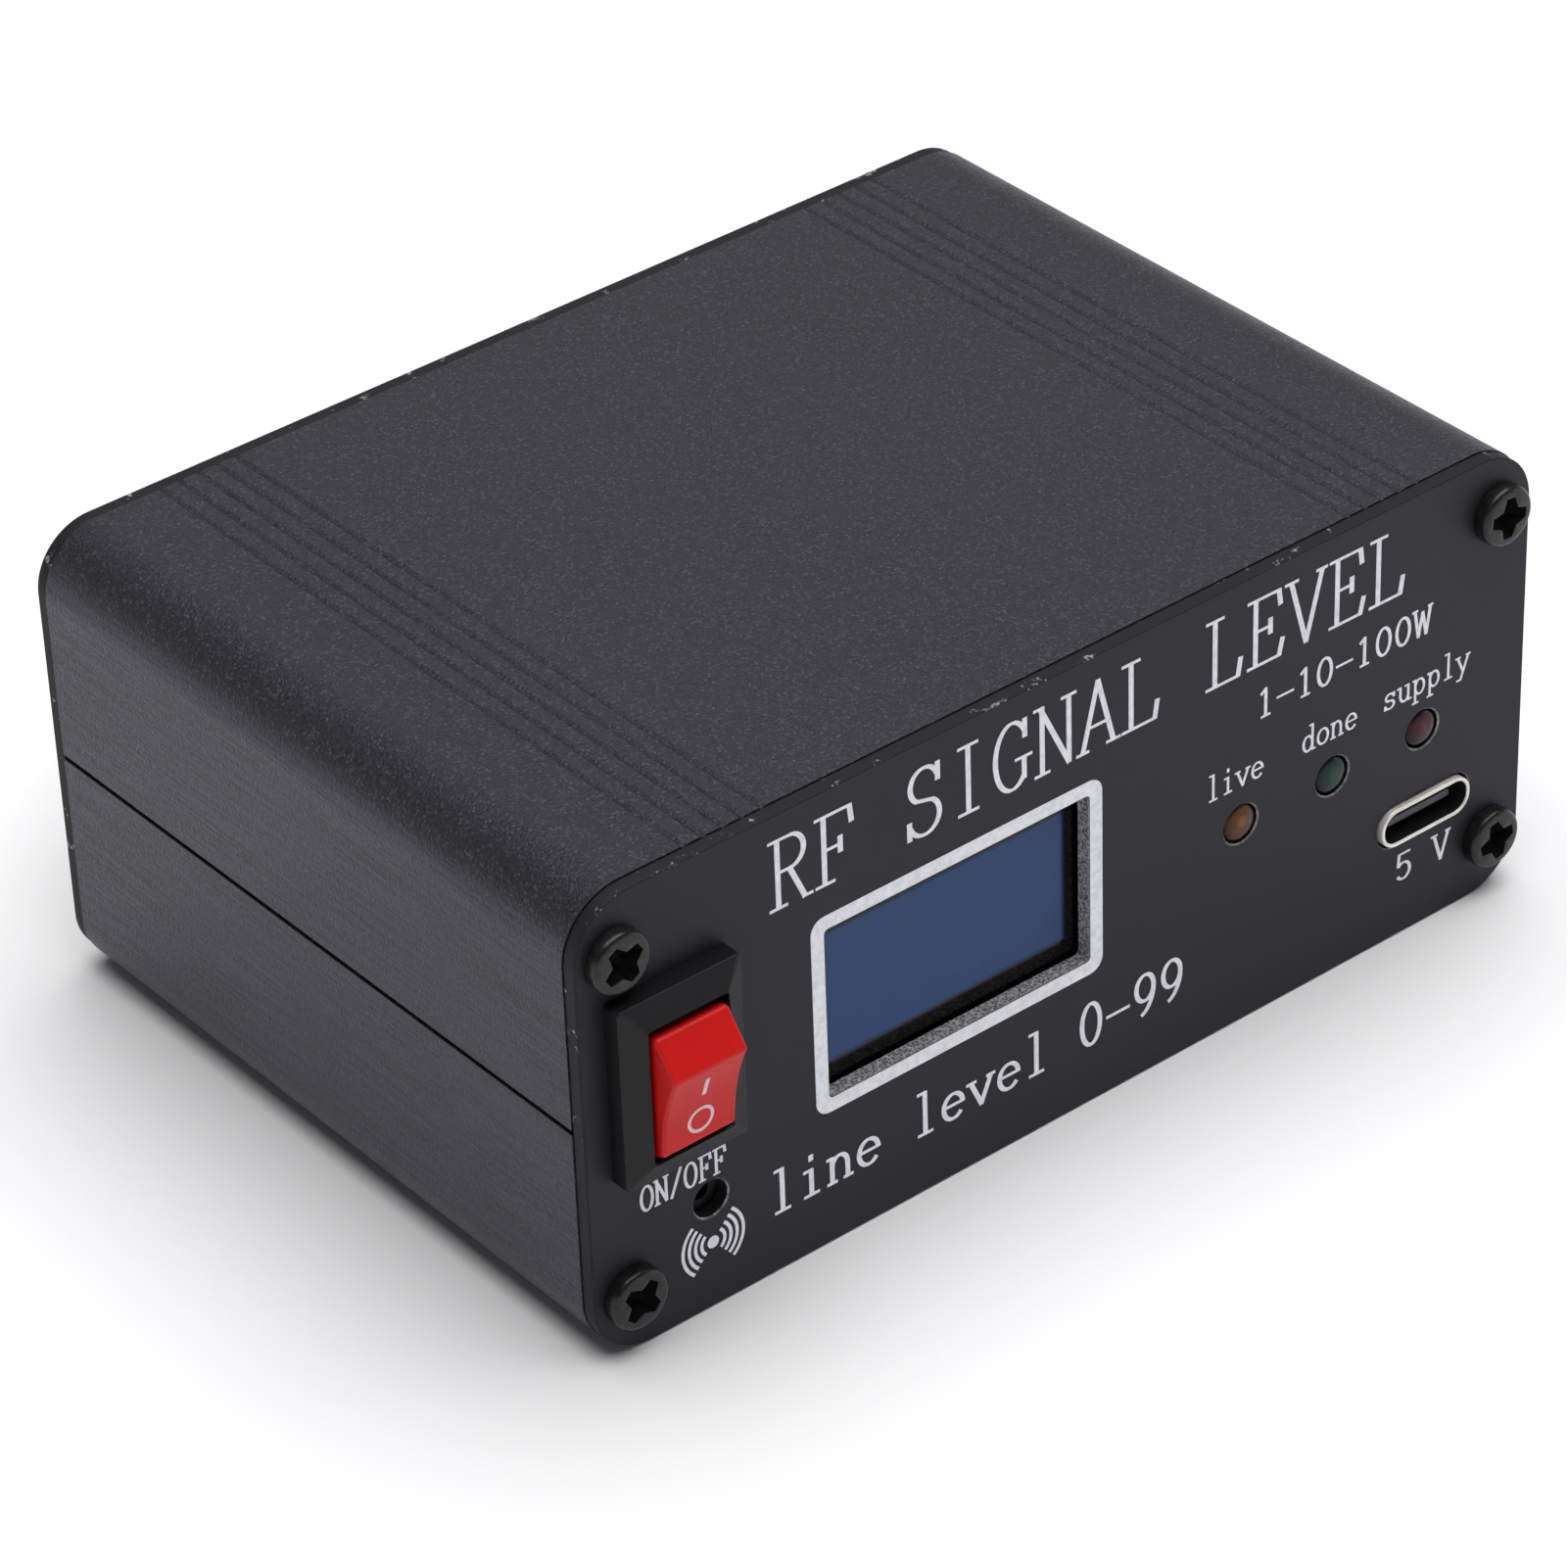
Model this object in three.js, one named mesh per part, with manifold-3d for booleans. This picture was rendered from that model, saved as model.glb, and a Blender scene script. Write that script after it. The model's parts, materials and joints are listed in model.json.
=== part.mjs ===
// A bench SWR and power meter: split extruded case, display, rocker switch, lamps, charging port and two
// coaxial sockets. Millimetres. +X runs to the right along the front plate, -Y comes out of the front,
// +Z is up. The origin is the middle of the case's underside.
import * as THREE from "three";
import { mergeVertices } from "three/addons/utils/BufferGeometryUtils.js";
import { ConvexGeometry } from "three/addons/geometries/ConvexGeometry.js";
import Module from "manifold-3d";

const wasm = await Module();
wasm.setup();

// ---------------------------------------------------------------- driving dimensions

// Case: two extruded shells that meet along the sides, closed by two plates.
const caseWidth = 88;
const caseHeight = 38.2;
const shellLength = 60;
const cornerRadius = 5;
const wall = 1.6;
const plateThickness = 1.2;
const plateInset = 0.1;

// Side joint: the seam stands above mid height, and a tongue on the lower shell fits behind the upper's lip.
const seamAboveMiddle = 0.6;
const seamGap = 0.4;
const lipThickness = 0.75;
const tongueHeight = 2;
const slideClearance = 0.15;

// Fine grooves along the top and the underside, in two bands.
const grooveCount = 5;
const groovePitch = 1.67;
const grooveWidth = 0.55;
const grooveDepth = 0.32;
const firstGrooveFromSide = 10.5;

// Plate screws and the bored ports that they bite into.
const portInsetX = 3.35;
const portInsetZ = 4.95;
const portRadius = 2.7;
const threadGap = 0.15;
const caseScrew = { shank: 1.3, length: 8, head: 2.7, headHeight: 1.5, recessArm: 1.45, recessWidth: 0.8 };
const screwHoleGap = 0.25;

// Rocker switch, placed from the left side and from mid height. The rocker's outline is given from its pivot.
const switchFromLeft = 7.55;
const switchAboveMiddle = 3.3;
const pivotDepth = 1.14;
const rockerTilt = 13.5;
const rockerFaceHalf = 3.63;
const rockerFaceHeight = 5.13;
const rockerFaceSag = 0.4;
const rockerEndRun = 2.06;
const rockerEndDrop = 2.55;
const rockerSkirtInset = 0.5;
const rockerSkirtDrop = 1.08;
const rockerBellyRun = 0.77;
const rockerBellyDepth = 1.2;
const rockerSideGap = 0.2;
const rockerSweepGap = 0.17;
const rockerSweepBelow = 0.5;
const pivotPinRadius = 0.75;
const pivotPinLength = 0.7;
const pivotPinGap = 0.1;
const stemHalf = 1.9;
const stemLength = 3.4;

// The switch's body and bezel, which fit around the rocker.
const openingWidth = 6.65;
const openingEndGap = 0.18;
const chamberSideGap = 0.125;
const switchBodyWall = 0.85;
const switchEndWall = 0.28;
const switchBackWall = 1.6;
const switchBodyDepth = 11;
const bezelSideLip = 0.95;
const bezelEndLip = 0.8;
const bezelEdge = 1.6;
const bezelRim = 2.45;
const cutoutGap = 0.15;
const catchGap = 0.15;
const catchRoot = 0.3;
const catchReach = 0.45;
const catchLength = 2.4;
const catchHalf = 2;

// Plunger, spring, contact blade and terminals in the switch.
const plungerRadius = 0.9;
const plungerReach = 5.1;
const plungerSeat = 1.4;
const plungerTip = 0.6;
const plungerBoreGap = 0.25;
const plungerBoreTop = 2;
const springWire = 0.14;
const springTurns = 6;
const bladeTilt = 8;
const bladeDepth = 6.7;
const bladeHalf = 4.7;
const bladeWidth = 3;
const bladeRise = 0.35;
const contactThickness = 0.4;
const terminalWidth = 4;
const terminalThickness = 0.8;
const terminalReach = 6.5;
const loadTerminalOffset = 4.3;
const contactGap = 0.1;

// Display, placed from the left side and from mid height by the middle of its lit area.
const displayFromLeft = 33.16;
const displayAboveMiddle = 0.53;
const windowWidth = 23.9;
const windowHeight = 14.1;
const glassWidth = 26.7;
const glassHeight = 19.26;
const glassThickness = 1.4;
const glassDrop = 2.1;
const glassGap = 0.3;
const displayBoardWidth = 27.3;
const displayBoardHeight = 27.8;
const displayBoardThickness = 1.2;
const displayBoardDrop = 1.9;
const headerLength = 10.16;
const headerSize = 2.54;
const ribbonThickness = 0.5;
const ribbonBow = 8;
const ribbonFoot = 3;
const ribbonSteps = 12;

// Indicator lamps, placed from the right side.
const lampNames = ["run_lamp", "full_lamp", "charge_lamp"];
const lastLampFromRight = 10.35;
const lampPitch = 9;
const lampBelowMiddle = 1.59;
const lampRadius = 1.5;
const lampHoleGap = 0.12;
const lampProud = 0.15;
const lampLength = 5.3;
const lampFlange = 0.4;
const lampFlangeThickness = 1;
const leadSpacing = 1.27;
const leadThickness = 0.5;
const leadRoot = 0.5;
const leadBend = 2;

// Charging port, placed from the right side, hanging under the main board.
const portFromRight = 10;
const portBelowMiddle = 9;
const portWidth = 8.94;
const portHeight = 3.26;
const portLength = 7.4;
const portWall = 0.3;
const portBackWall = 0.9;
const portEndFlat = 0.25;
const portProud = 0.4;
const portSlotGap = 0.25;
const tongueWidth = 6.4;
const tongueThickness = 0.7;
const tongueFromMouth = 0.9;

// Buzzer behind the sound hole.
const buzzerFromLeft = 10.5;
const buzzerBelowMiddle = 9.76;
const buzzerRadius = 4.4;
const buzzerLength = 5.5;
const buzzerSoundRadius = 0.8;
const buzzerSoundDepth = 1.5;
const soundHoleRadius = 1.5;

// Main board in the lower shell's side slots.
const boardThickness = 1.6;
const boardGap = 0.1;
const slotDepth = 1.2;
const slotReach = 0.9;
const slotRib = 1.2;
const boardRearGap = 0.5;
const boardStepGap = 2;

// Cell under the main board, on a foam pad.
const cell = { width: 44, length: 28, height: 7, edge: 2 };
const padInset = 2;
const padThickness = 0.5;

// Coaxial sockets on the rear plate.
const socketSpacing = 44;
const socketFlange = 25.4;
const socketFlangeThickness = 1.6;
const socketFlangeCorner = 1.2;
const socketScrewPitch = 18.2;
const barrelRadius = 7.94;
const barrelLength = 14;
const collarRadius = 6.2;
const collarDepth = 7;
const insulatorRadius = 5.45;
const insulatorBehind = 4.5;
const contactRadius = 2.5;
const pinBoreRadius = 2.05;
const pinBoreDepth = 9;
const solderCupRadius = 1.8;
const solderCupBehind = 9;
const contactRear = 1;
const contactProud = 0.4;
const socketFitGap = 0.1;
const insulatorHoleGap = 0.25;
const flangeScrew = {
  shank: 1.25,
  length: 4.5,
  head: 2.4,
  headHeight: 1.3,
  recessArm: 1.2,
  recessWidth: 0.7,
};

// Line between the sockets, with a wound ring core for each direction.
const lineRadius = 0.8;
const lineOverrun = 1.2;
const coreSpacing = 16;
const coreOuter = 4.5;
const coreInner = 2.4;
const coreThickness = 3;
const windingTurns = 9;
const windingWire = 0.2;
const windingGap = 0.1;
const windingShare = 0.88;

// Chips on the main board, behind the lamps' leads, and the wires inside the case.
const controller = { size: 7, height: 1.2, besideRibbon: 8.26, behindLeads: 14.3 };
const charger = { width: 5, length: 4, height: 1.5, fromRight: 16, behindLeads: 4.8 };
const wireRadius = 0.6;
const wireGap = 0.2;
const cellWireSpread = 3;
const cellWireBend = 5;
const cellWireDrop = 3;
const switchWireBend = 6;
const switchWireDrop = 6;

// Pan heads: straight part and recess as shares of the head's height, tip as a share of the shank's radius.
const headStraight = 0.4;
const recessDepth = 0.8;
const shankTip = 0.4;

// Facets of round shapes, and how far a cutting tool runs past the face that it opens.
const cornerSteps = 8;
const smallCornerSteps = 3;
const domeSteps = 6;
const smallRound = 14;
const mediumRound = 24;
const largeRound = 40;
const wireSides = 6;
const wireSteps = 12;
const fineWireSides = 5;
const stepsPerTurn = 10;
const overshoot = 1;

// ---------------------------------------------------------------- shared places

const middle = caseHeight / 2;
const left = -caseWidth / 2;
const right = caseWidth / 2;
const plateBack = -shellLength / 2;
const frontFace = plateBack - plateThickness;
const rearFace = -frontFace;
const seam = middle + seamAboveMiddle;
const switchX = left + switchFromLeft;
const switchZ = middle + switchAboveMiddle;
const displayX = left + displayFromLeft;
const displayZ = middle + displayAboveMiddle;
const lampZ = middle - lampBelowMiddle;
const usbX = right - portFromRight;
const usbZ = middle - portBelowMiddle;
const boardBottom = usbZ + portHeight / 2 + boardGap;
const boardTop = boardBottom + boardThickness;
const buzzerX = left + buzzerFromLeft;
const buzzerZ = middle - buzzerBelowMiddle;
const screwX = caseWidth / 2 - portInsetX;
const screwZ = middle - portInsetZ;
const lineY = rearFace - solderCupBehind - lineRadius - wireGap;
const boreRadius = caseScrew.shank + threadGap;
const lampRear = frontFace - lampProud + lampLength;
const leadY = lampRear + leadBend;

// The rocker's end corner from its pivot, and the sizes that follow from the circle in which it swings.
const rockerEnd = new THREE.Vector2(rockerFaceHalf + rockerEndRun, rockerFaceHeight - rockerEndDrop);
const rockerSweep = rockerEnd.length() + rockerSweepGap;
const openingHeight = 2 * (Math.sqrt(rockerSweep ** 2 - (bezelRim + pivotDepth) ** 2) + openingEndGap);
const chamberWidth = openingWidth + 2 * chamberSideGap;
const switchBodyWidth = chamberWidth + 2 * switchBodyWall;
const switchBodyHeight = 2 * (rockerSweep + switchEndWall);
const bezelWidth = switchBodyWidth + 2 * bezelSideLip;
const bezelHeight = switchBodyHeight + 2 * bezelEndLip;

// ---------------------------------------------------------------- materials

function finish(color, roughness, metalness) {
  return new THREE.MeshStandardMaterial({ color, roughness, metalness });
}

const anodised = finish(0x2a2a2e, 0.45, 0.6);
const plateBlack = finish(0x222226, 0.55, 0.3);
const screwBlack = finish(0x141414, 0.35, 0.7);
const switchBlack = finish(0x1c1c1e, 0.5, 0);
const rockerRed = finish(0xc81e1e, 0.35, 0);
const glassBlue = finish(0x28406e, 0.08, 0);
const boardGreen = finish(0x14502d, 0.5, 0);
const pinGold = finish(0xc8a050, 0.3, 1);
const nickel = finish(0xb8b8bc, 0.28, 1);
const steel = finish(0xa0a0a4, 0.3, 1);
const brass = finish(0xb89048, 0.35, 1);
const ivory = finish(0xe6e2d4, 0.5, 0);
const ferrite = finish(0x3c3c40, 0.7, 0);
const enamel = finish(0xa04a20, 0.35, 0.6);
const foil = finish(0xb0b4b8, 0.4, 0.7);
const foam = finish(0xd8d8d8, 0.9, 0);
const chipBlack = finish(0x181818, 0.6, 0);
const ribbonGrey = finish(0x9a9aa0, 0.6, 0);
const wireRed = finish(0xb01818, 0.5, 0);
const wireBlack = finish(0x161616, 0.5, 0);
const lampMaterials = [finish(0x96501e, 0.2, 0), finish(0x28503c, 0.2, 0), finish(0x6e1e24, 0.2, 0)];

// ---------------------------------------------------------------- solids

// A closed geometry as a solid that can be joined and cut.
function solidOf(geometry) {
  const bare = geometry.clone();
  bare.deleteAttribute("normal");
  bare.deleteAttribute("uv");
  const merged = mergeVertices(bare, 1e-4);
  const corners = merged.index.array;
  const kept = [];
  for (let i = 0; i < corners.length; i += 3) {
    const [a, b, c] = [corners[i], corners[i + 1], corners[i + 2]];
    if (a !== b && b !== c && c !== a) kept.push(a, b, c);
  }
  const triVerts = new Uint32Array(kept);
  const vertProperties = merged.attributes.position.array;
  return new wasm.Manifold(new wasm.Mesh({ numProp: 3, vertProperties, triVerts }));
}

function geometryOf(solid) {
  const mesh = solid.getMesh();
  const geometry = new THREE.BufferGeometry();
  geometry.setAttribute("position", new THREE.BufferAttribute(mesh.vertProperties, 3));
  geometry.setIndex(new THREE.BufferAttribute(mesh.triVerts, 1));
  geometry.computeVertexNormals();
  return geometry;
}

function join(solids) {
  return solids.reduce((whole, solid) => whole.add(solid));
}

function cut(solid, tools) {
  return tools.reduce((rest, tool) => rest.subtract(tool), solid);
}

// ---------------------------------------------------------------- outlines

function point(x, y) {
  return new THREE.Vector2(x, y);
}

function arc(x, y, radius, startDegrees, endDegrees, steps) {
  const points = [];
  for (let i = 0; i <= steps; i += 1) {
    const angle = THREE.MathUtils.degToRad(startDegrees + ((endDegrees - startDegrees) * i) / steps);
    points.push(point(x + radius * Math.cos(angle), y + radius * Math.sin(angle)));
  }
  return points;
}

function circle(x, y, radius, steps) {
  return arc(x, y, radius, 0, 360, steps).slice(0, steps);
}

function rectangle(x, y, width, height) {
  const [w, h] = [width / 2, height / 2];
  return [point(x - w, y - h), point(x + w, y - h), point(x + w, y + h), point(x - w, y + h)];
}

function roundedRectangle(x, y, width, height, radius, steps) {
  const [w, h] = [width / 2 - radius, height / 2 - radius];
  return [
    ...arc(x + w, y + h, radius, 0, 90, steps),
    ...arc(x - w, y + h, radius, 90, 180, steps),
    ...arc(x - w, y - h, radius, 180, 270, steps),
    ...arc(x + w, y - h, radius, 270, 360, steps),
  ];
}

function flipX(points) {
  return points.map((p) => point(-p.x, p.y));
}

function flipY(points, height) {
  return points.map((p) => point(p.x, height - p.y));
}

// ---------------------------------------------------------------- sweeps

const axisX = new THREE.Vector3(1, 0, 0);
const axisY = new THREE.Vector3(0, 1, 0);
const axisZ = new THREE.Vector3(0, 0, 1);
const outward = new THREE.Vector3(0, -1, 0);

function extrusion(points, holes, depth) {
  const shape = new THREE.Shape(points);
  shape.holes = holes.map((hole) => new THREE.Path(hole));
  return new THREE.ExtrudeGeometry(shape, { depth, bevelEnabled: false, steps: 1 });
}

// An outline in X and Z, swept from one Y to another.
function sweepY(points, fromY, toY, holes = []) {
  const geometry = extrusion(points, holes, toY - fromY);
  geometry.applyMatrix4(new THREE.Matrix4().makeBasis(axisX, axisZ, outward));
  return geometry.translate(0, toY, 0);
}

// An outline in Z and the outward direction, swept from one X to another.
function sweepX(points, fromX, toX) {
  const geometry = extrusion(points, [], toX - fromX);
  geometry.applyMatrix4(new THREE.Matrix4().makeBasis(axisZ, outward, axisX));
  return geometry.translate(fromX, 0, 0);
}

// An outline in X and Y, swept from one Z to another.
function sweepZ(points, fromZ, toZ) {
  return extrusion(points, [], toZ - fromZ).translate(0, 0, fromZ);
}

// A turned shape about Y: each profile point is a radius and a distance along Y.
function turned(profile, steps) {
  return new THREE.LatheGeometry(profile.map(([radius, along]) => point(radius, along)), steps);
}

// A round wire along a curve.
function wireAlong(curve, radius, sides, steps) {
  const shape = new THREE.Shape(circle(0, 0, radius, sides));
  return new THREE.ExtrudeGeometry(shape, { extrudePath: curve, steps, bevelEnabled: false });
}

// ---------------------------------------------------------------- the scene

const meter = new THREE.Group();

function place(name, geometry, material, parent = meter) {
  const mesh = new THREE.Mesh(geometry, material);
  mesh.name = name;
  parent.add(mesh);
  return mesh;
}

// ---------------------------------------------------------------- case

// Right half of a shell's outside, from the seam up over the corner to the innermost groove.
function shellOutside(seamZ) {
  const points = [point(right, seamZ)];
  points.push(...arc(right - cornerRadius, caseHeight - cornerRadius, cornerRadius, 0, 90, cornerSteps));
  for (let i = 0; i < grooveCount; i += 1) {
    const x = right - firstGrooveFromSide - i * groovePitch;
    const half = grooveWidth / 2;
    const bottom = caseHeight - grooveDepth;
    points.push(point(x + half, caseHeight), point(x + half / 2, bottom));
    points.push(point(x - half / 2, bottom), point(x - half, caseHeight));
  }
  return points;
}

function shellInnerCorner() {
  const radius = cornerRadius - wall;
  return arc(right - cornerRadius, caseHeight - cornerRadius, radius, 0, 90, cornerSteps);
}

function closedOutline(outside, inside) {
  return [...outside, ...flipX(outside).reverse(), ...flipX(inside), ...[...inside].reverse()];
}

// Joins the bored screw ports at height z to a shell's section.
function withPorts(outline, z) {
  const along = (points) => solidOf(sweepY(points, plateBack, -plateBack));
  const sides = [-screwX, screwX];
  const ports = sides.map((x) => along(circle(x, z, portRadius, mediumRound)));
  const bores = sides.map((x) => along(circle(x, z, boreRadius, smallRound)));
  return geometryOf(cut(join([along(outline), ...ports]), bores));
}

function upperShell() {
  const seamZ = seam + seamGap / 2;
  const rebateTop = seam + tongueHeight + slideClearance;
  const inside = [
    point(right - lipThickness, seamZ),
    point(right - lipThickness, rebateTop),
    point(right - wall, rebateTop),
    ...shellInnerCorner(),
  ];
  return withPorts(closedOutline(shellOutside(seamZ), inside), middle + screwZ);
}

function lowerShell() {
  const seamZ = seam - seamGap / 2;
  const tongueFace = right - lipThickness - slideClearance;
  const wallFace = right - wall;
  const slotFace = wallFace - slotDepth;
  const slotTop = boardTop + boardGap;
  const slotBottom = boardBottom - boardGap;
  const inside = [
    point(tongueFace, seamZ),
    point(tongueFace, seam + tongueHeight),
    point(wallFace, seam + tongueHeight),
    point(wallFace, slotTop + slotRib),
    point(slotFace, slotTop + slotRib),
    point(slotFace, slotTop),
    point(wallFace, slotTop),
    point(wallFace, slotBottom),
    point(slotFace, slotBottom),
    point(slotFace, slotBottom - slotRib),
    point(wallFace, slotBottom - slotRib),
    ...flipY(shellInnerCorner(), caseHeight),
  ];
  const outside = flipY(shellOutside(caseHeight - seamZ), caseHeight);
  return withPorts(closedOutline(outside, inside), middle - screwZ);
}

function plateOutline() {
  const [width, height] = [caseWidth - 2 * plateInset, caseHeight - 2 * plateInset];
  return roundedRectangle(0, middle, width, height, cornerRadius - plateInset, cornerSteps);
}

function cornerPlaces() {
  const places = [];
  for (const z of [middle + screwZ, middle - screwZ]) {
    for (const x of [-screwX, screwX]) places.push({ x, z });
  }
  return places;
}

function cornerHoles() {
  const radius = caseScrew.shank + screwHoleGap;
  return cornerPlaces().map(({ x, z }) => circle(x, z, radius, smallRound));
}

function lampX(index) {
  return right - lastLampFromRight - (lampNames.length - 1 - index) * lampPitch;
}

function frontPlate() {
  const window = rectangle(displayX, displayZ, windowWidth, windowHeight);
  const switchHole = rectangle(
    switchX,
    switchZ,
    switchBodyWidth + 2 * cutoutGap,
    switchBodyHeight + 2 * cutoutGap,
  );
  const slotHeight = portHeight + 2 * portSlotGap;
  const slotWidth = portWidth + 2 * portSlotGap;
  const slot = roundedRectangle(usbX, usbZ, slotWidth, slotHeight, slotHeight / 2, cornerSteps);
  const lamps = lampNames.map((name, i) => circle(lampX(i), lampZ, lampRadius + lampHoleGap, mediumRound));
  const sound = circle(buzzerX, buzzerZ, soundHoleRadius, mediumRound);
  const holes = [window, switchHole, slot, sound, ...lamps, ...cornerHoles()];
  return sweepY(plateOutline(), frontFace, plateBack, holes);
}

// The four flange screws of a socket around a middle point.
function screwSquare(middleX, middleZ) {
  const places = [];
  const reach = socketScrewPitch / 2;
  for (const z of [middleZ + reach, middleZ - reach]) {
    for (const x of [middleX - reach, middleX + reach]) places.push({ x, z });
  }
  return places;
}

function rearPlate() {
  const holes = cornerHoles();
  for (const x of [-socketSpacing / 2, socketSpacing / 2]) {
    holes.push(circle(x, middle, insulatorRadius + insulatorHoleGap, mediumRound));
    for (const hole of screwSquare(x, middle)) {
      holes.push(circle(hole.x, hole.z, flangeScrew.shank + threadGap, smallRound));
    }
  }
  return sweepY(plateOutline(), -plateBack, rearFace, holes);
}

// A pan-head screw along Y: the head's underside at 0, the head towards +Y, a cross recess in the head.
function panHeadScrew(size) {
  const straight = size.headHeight * headStraight;
  const dome = size.headHeight - straight;
  const crown = arc(0, 0, 1, 0, 90, smallCornerSteps).map((p) => [p.x * size.head, straight + p.y * dome]);
  const profile = [
    [0, -size.length],
    [size.shank * shankTip, -size.length],
    [size.shank, size.shank - size.length],
    [size.shank, 0],
    [size.head, 0],
    ...crown.slice(0, smallCornerSteps),
    [0, size.headHeight],
  ];
  const blank = solidOf(turned(profile, smallRound));
  const arms = [0, Math.PI / 2].map((turn) => {
    const depth = size.headHeight * recessDepth;
    const arm = new THREE.BoxGeometry(2 * size.recessArm, 2 * depth, size.recessWidth);
    return solidOf(arm.rotateY(turn).translate(0, size.headHeight, 0));
  });
  return geometryOf(cut(blank, arms));
}

function addCase() {
  place("upper_shell", upperShell(), anodised);
  place("lower_shell", lowerShell(), anodised);
  place("front_plate", frontPlate(), plateBlack);
  place("rear_plate", rearPlate(), plateBlack);
  const screw = panHeadScrew(caseScrew);
  cornerPlaces().forEach(({ x, z }, i) => {
    const front = place(`front_screw_${i + 1}`, screw, screwBlack);
    front.position.set(x, frontFace, z);
    front.rotation.x = Math.PI;
    const rear = place(`rear_screw_${i + 1}`, screw, screwBlack);
    rear.position.set(x, rearFace, z);
  });
}

// ---------------------------------------------------------------- rocker switch

// Box in the switch's own frame: X across, Y inwards from the plate's face, Z along the switch.
function switchBox(width, height, fromDepth, toDepth, z = 0) {
  const box = new THREE.BoxGeometry(width, toDepth - fromDepth, height);
  return solidOf(box.translate(0, (fromDepth + toDepth) / 2, z));
}

// A round bar along X through the rocker's pivot line.
function pivotBar(radius, length, steps) {
  const bar = new THREE.CylinderGeometry(radius, radius, length, steps);
  return solidOf(bar.rotateZ(Math.PI / 2).translate(0, pivotDepth, 0));
}

function rockerOutline() {
  const sag = new THREE.QuadraticBezierCurve(
    point(rockerFaceHalf, rockerFaceHeight),
    point(0, rockerFaceHeight - 2 * rockerFaceSag),
    point(-rockerFaceHalf, rockerFaceHeight),
  );
  const side = [
    rockerEnd,
    point(rockerEnd.x - rockerSkirtInset, rockerEnd.y - rockerSkirtDrop),
    point(rockerFaceHalf + rockerBellyRun, -rockerBellyDepth),
    point(stemHalf, -rockerBellyDepth),
    point(stemHalf, -stemLength),
  ];
  return [...sag.getPoints(cornerSteps), ...flipX(side), ...side.reverse()];
}

function bezelFrame() {
  const corners = [];
  for (const sx of [-0.5, 0.5]) {
    for (const sz of [-0.5, 0.5]) {
      corners.push(new THREE.Vector3(sx * bezelWidth, 0, sz * bezelHeight));
      corners.push(new THREE.Vector3(sx * bezelWidth, -bezelEdge, sz * bezelHeight));
      corners.push(new THREE.Vector3(sx * openingWidth, -bezelRim, sz * openingHeight));
    }
  }
  return solidOf(new ConvexGeometry(corners));
}

function terminalSlot(z) {
  const from = switchBodyDepth - 2 * switchBackWall;
  const [width, height] = [terminalWidth + 2 * contactGap, terminalThickness + 2 * contactGap];
  return switchBox(width, height, from, switchBodyDepth + overshoot, z);
}

// A sprung catch behind the plate, on the end of the body that faces the given side.
function catchWedge(side) {
  const end = (side * switchBodyHeight) / 2;
  const near = -plateThickness - catchGap;
  const outline = [
    point(end - side * catchRoot, near),
    point(end + side * catchReach, near),
    point(end, near - catchLength),
    point(end - side * catchRoot, near - catchLength),
  ];
  return solidOf(sweepX(outline, -catchHalf, catchHalf));
}

function switchHousing() {
  const body = switchBox(switchBodyWidth, switchBodyHeight, 0, switchBodyDepth);
  const floor = switchBodyDepth - switchBackWall;
  const sweepLimit = pivotDepth - rockerSweepBelow;
  const barrel = pivotBar(rockerSweep, chamberWidth, largeRound);
  const front = switchBox(chamberWidth, 2 * rockerSweep, -2 * rockerSweep, sweepLimit);
  const chamberHeight = switchBodyHeight - 2 * switchBodyWall;
  const chamber = switchBox(chamberWidth, chamberHeight, sweepLimit - rockerSweepBelow, floor);
  const opening = switchBox(openingWidth, openingHeight, -2 * bezelRim, overshoot);
  const pins = pivotBar(pivotPinRadius + pivotPinGap, switchBodyWidth + overshoot, smallRound);
  const slots = [terminalSlot(0), terminalSlot(-loadTerminalOffset)];
  const whole = join([body, bezelFrame(), catchWedge(1), catchWedge(-1)]);
  return geometryOf(cut(whole, [barrel.intersect(front), chamber, opening, pins, ...slots]));
}

// The rocker in its own frame: its pivot at the origin, its face towards -Y.
function rocker() {
  const half = openingWidth / 2 - rockerSideGap;
  const block = solidOf(sweepX(rockerOutline(), -half, half));
  const pinLength = 2 * (half + pivotPinLength);
  const pins = new THREE.CylinderGeometry(pivotPinRadius, pivotPinRadius, pinLength, smallRound);
  const boreRadius = plungerRadius + plungerBoreGap;
  const boreLength = plungerBoreTop + stemLength + overshoot;
  const bore = new THREE.CylinderGeometry(boreRadius, boreRadius, boreLength, smallRound);
  const whole = join([block, solidOf(pins.rotateZ(Math.PI / 2))]);
  return geometryOf(cut(whole, [solidOf(bore.translate(0, boreLength / 2 - plungerBoreTop, 0))]));
}

// The plunger stands in the rocker's stem and bears on the contact blade with a rounded tip.
function plunger() {
  const start = stemLength - plungerSeat;
  const [tipX, tipY] = [plungerRadius - plungerTip, plungerReach - plungerTip];
  const tip = arc(tipX, tipY, plungerTip, 0, 90, smallCornerSteps).map((p) => [p.x, p.y]);
  return turned([[0, start], [plungerRadius, start], ...tip, [0, plungerReach]], smallRound);
}

class Coil extends THREE.Curve {
  constructor(radius, start, end, turns) {
    super();
    Object.assign(this, { radius, start, end, turns });
  }

  getPoint(t, target = new THREE.Vector3()) {
    const angle = 2 * Math.PI * this.turns * t;
    const along = this.start + (this.end - this.start) * t;
    return target.set(this.radius * Math.cos(angle), along, this.radius * Math.sin(angle));
  }
}

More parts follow.
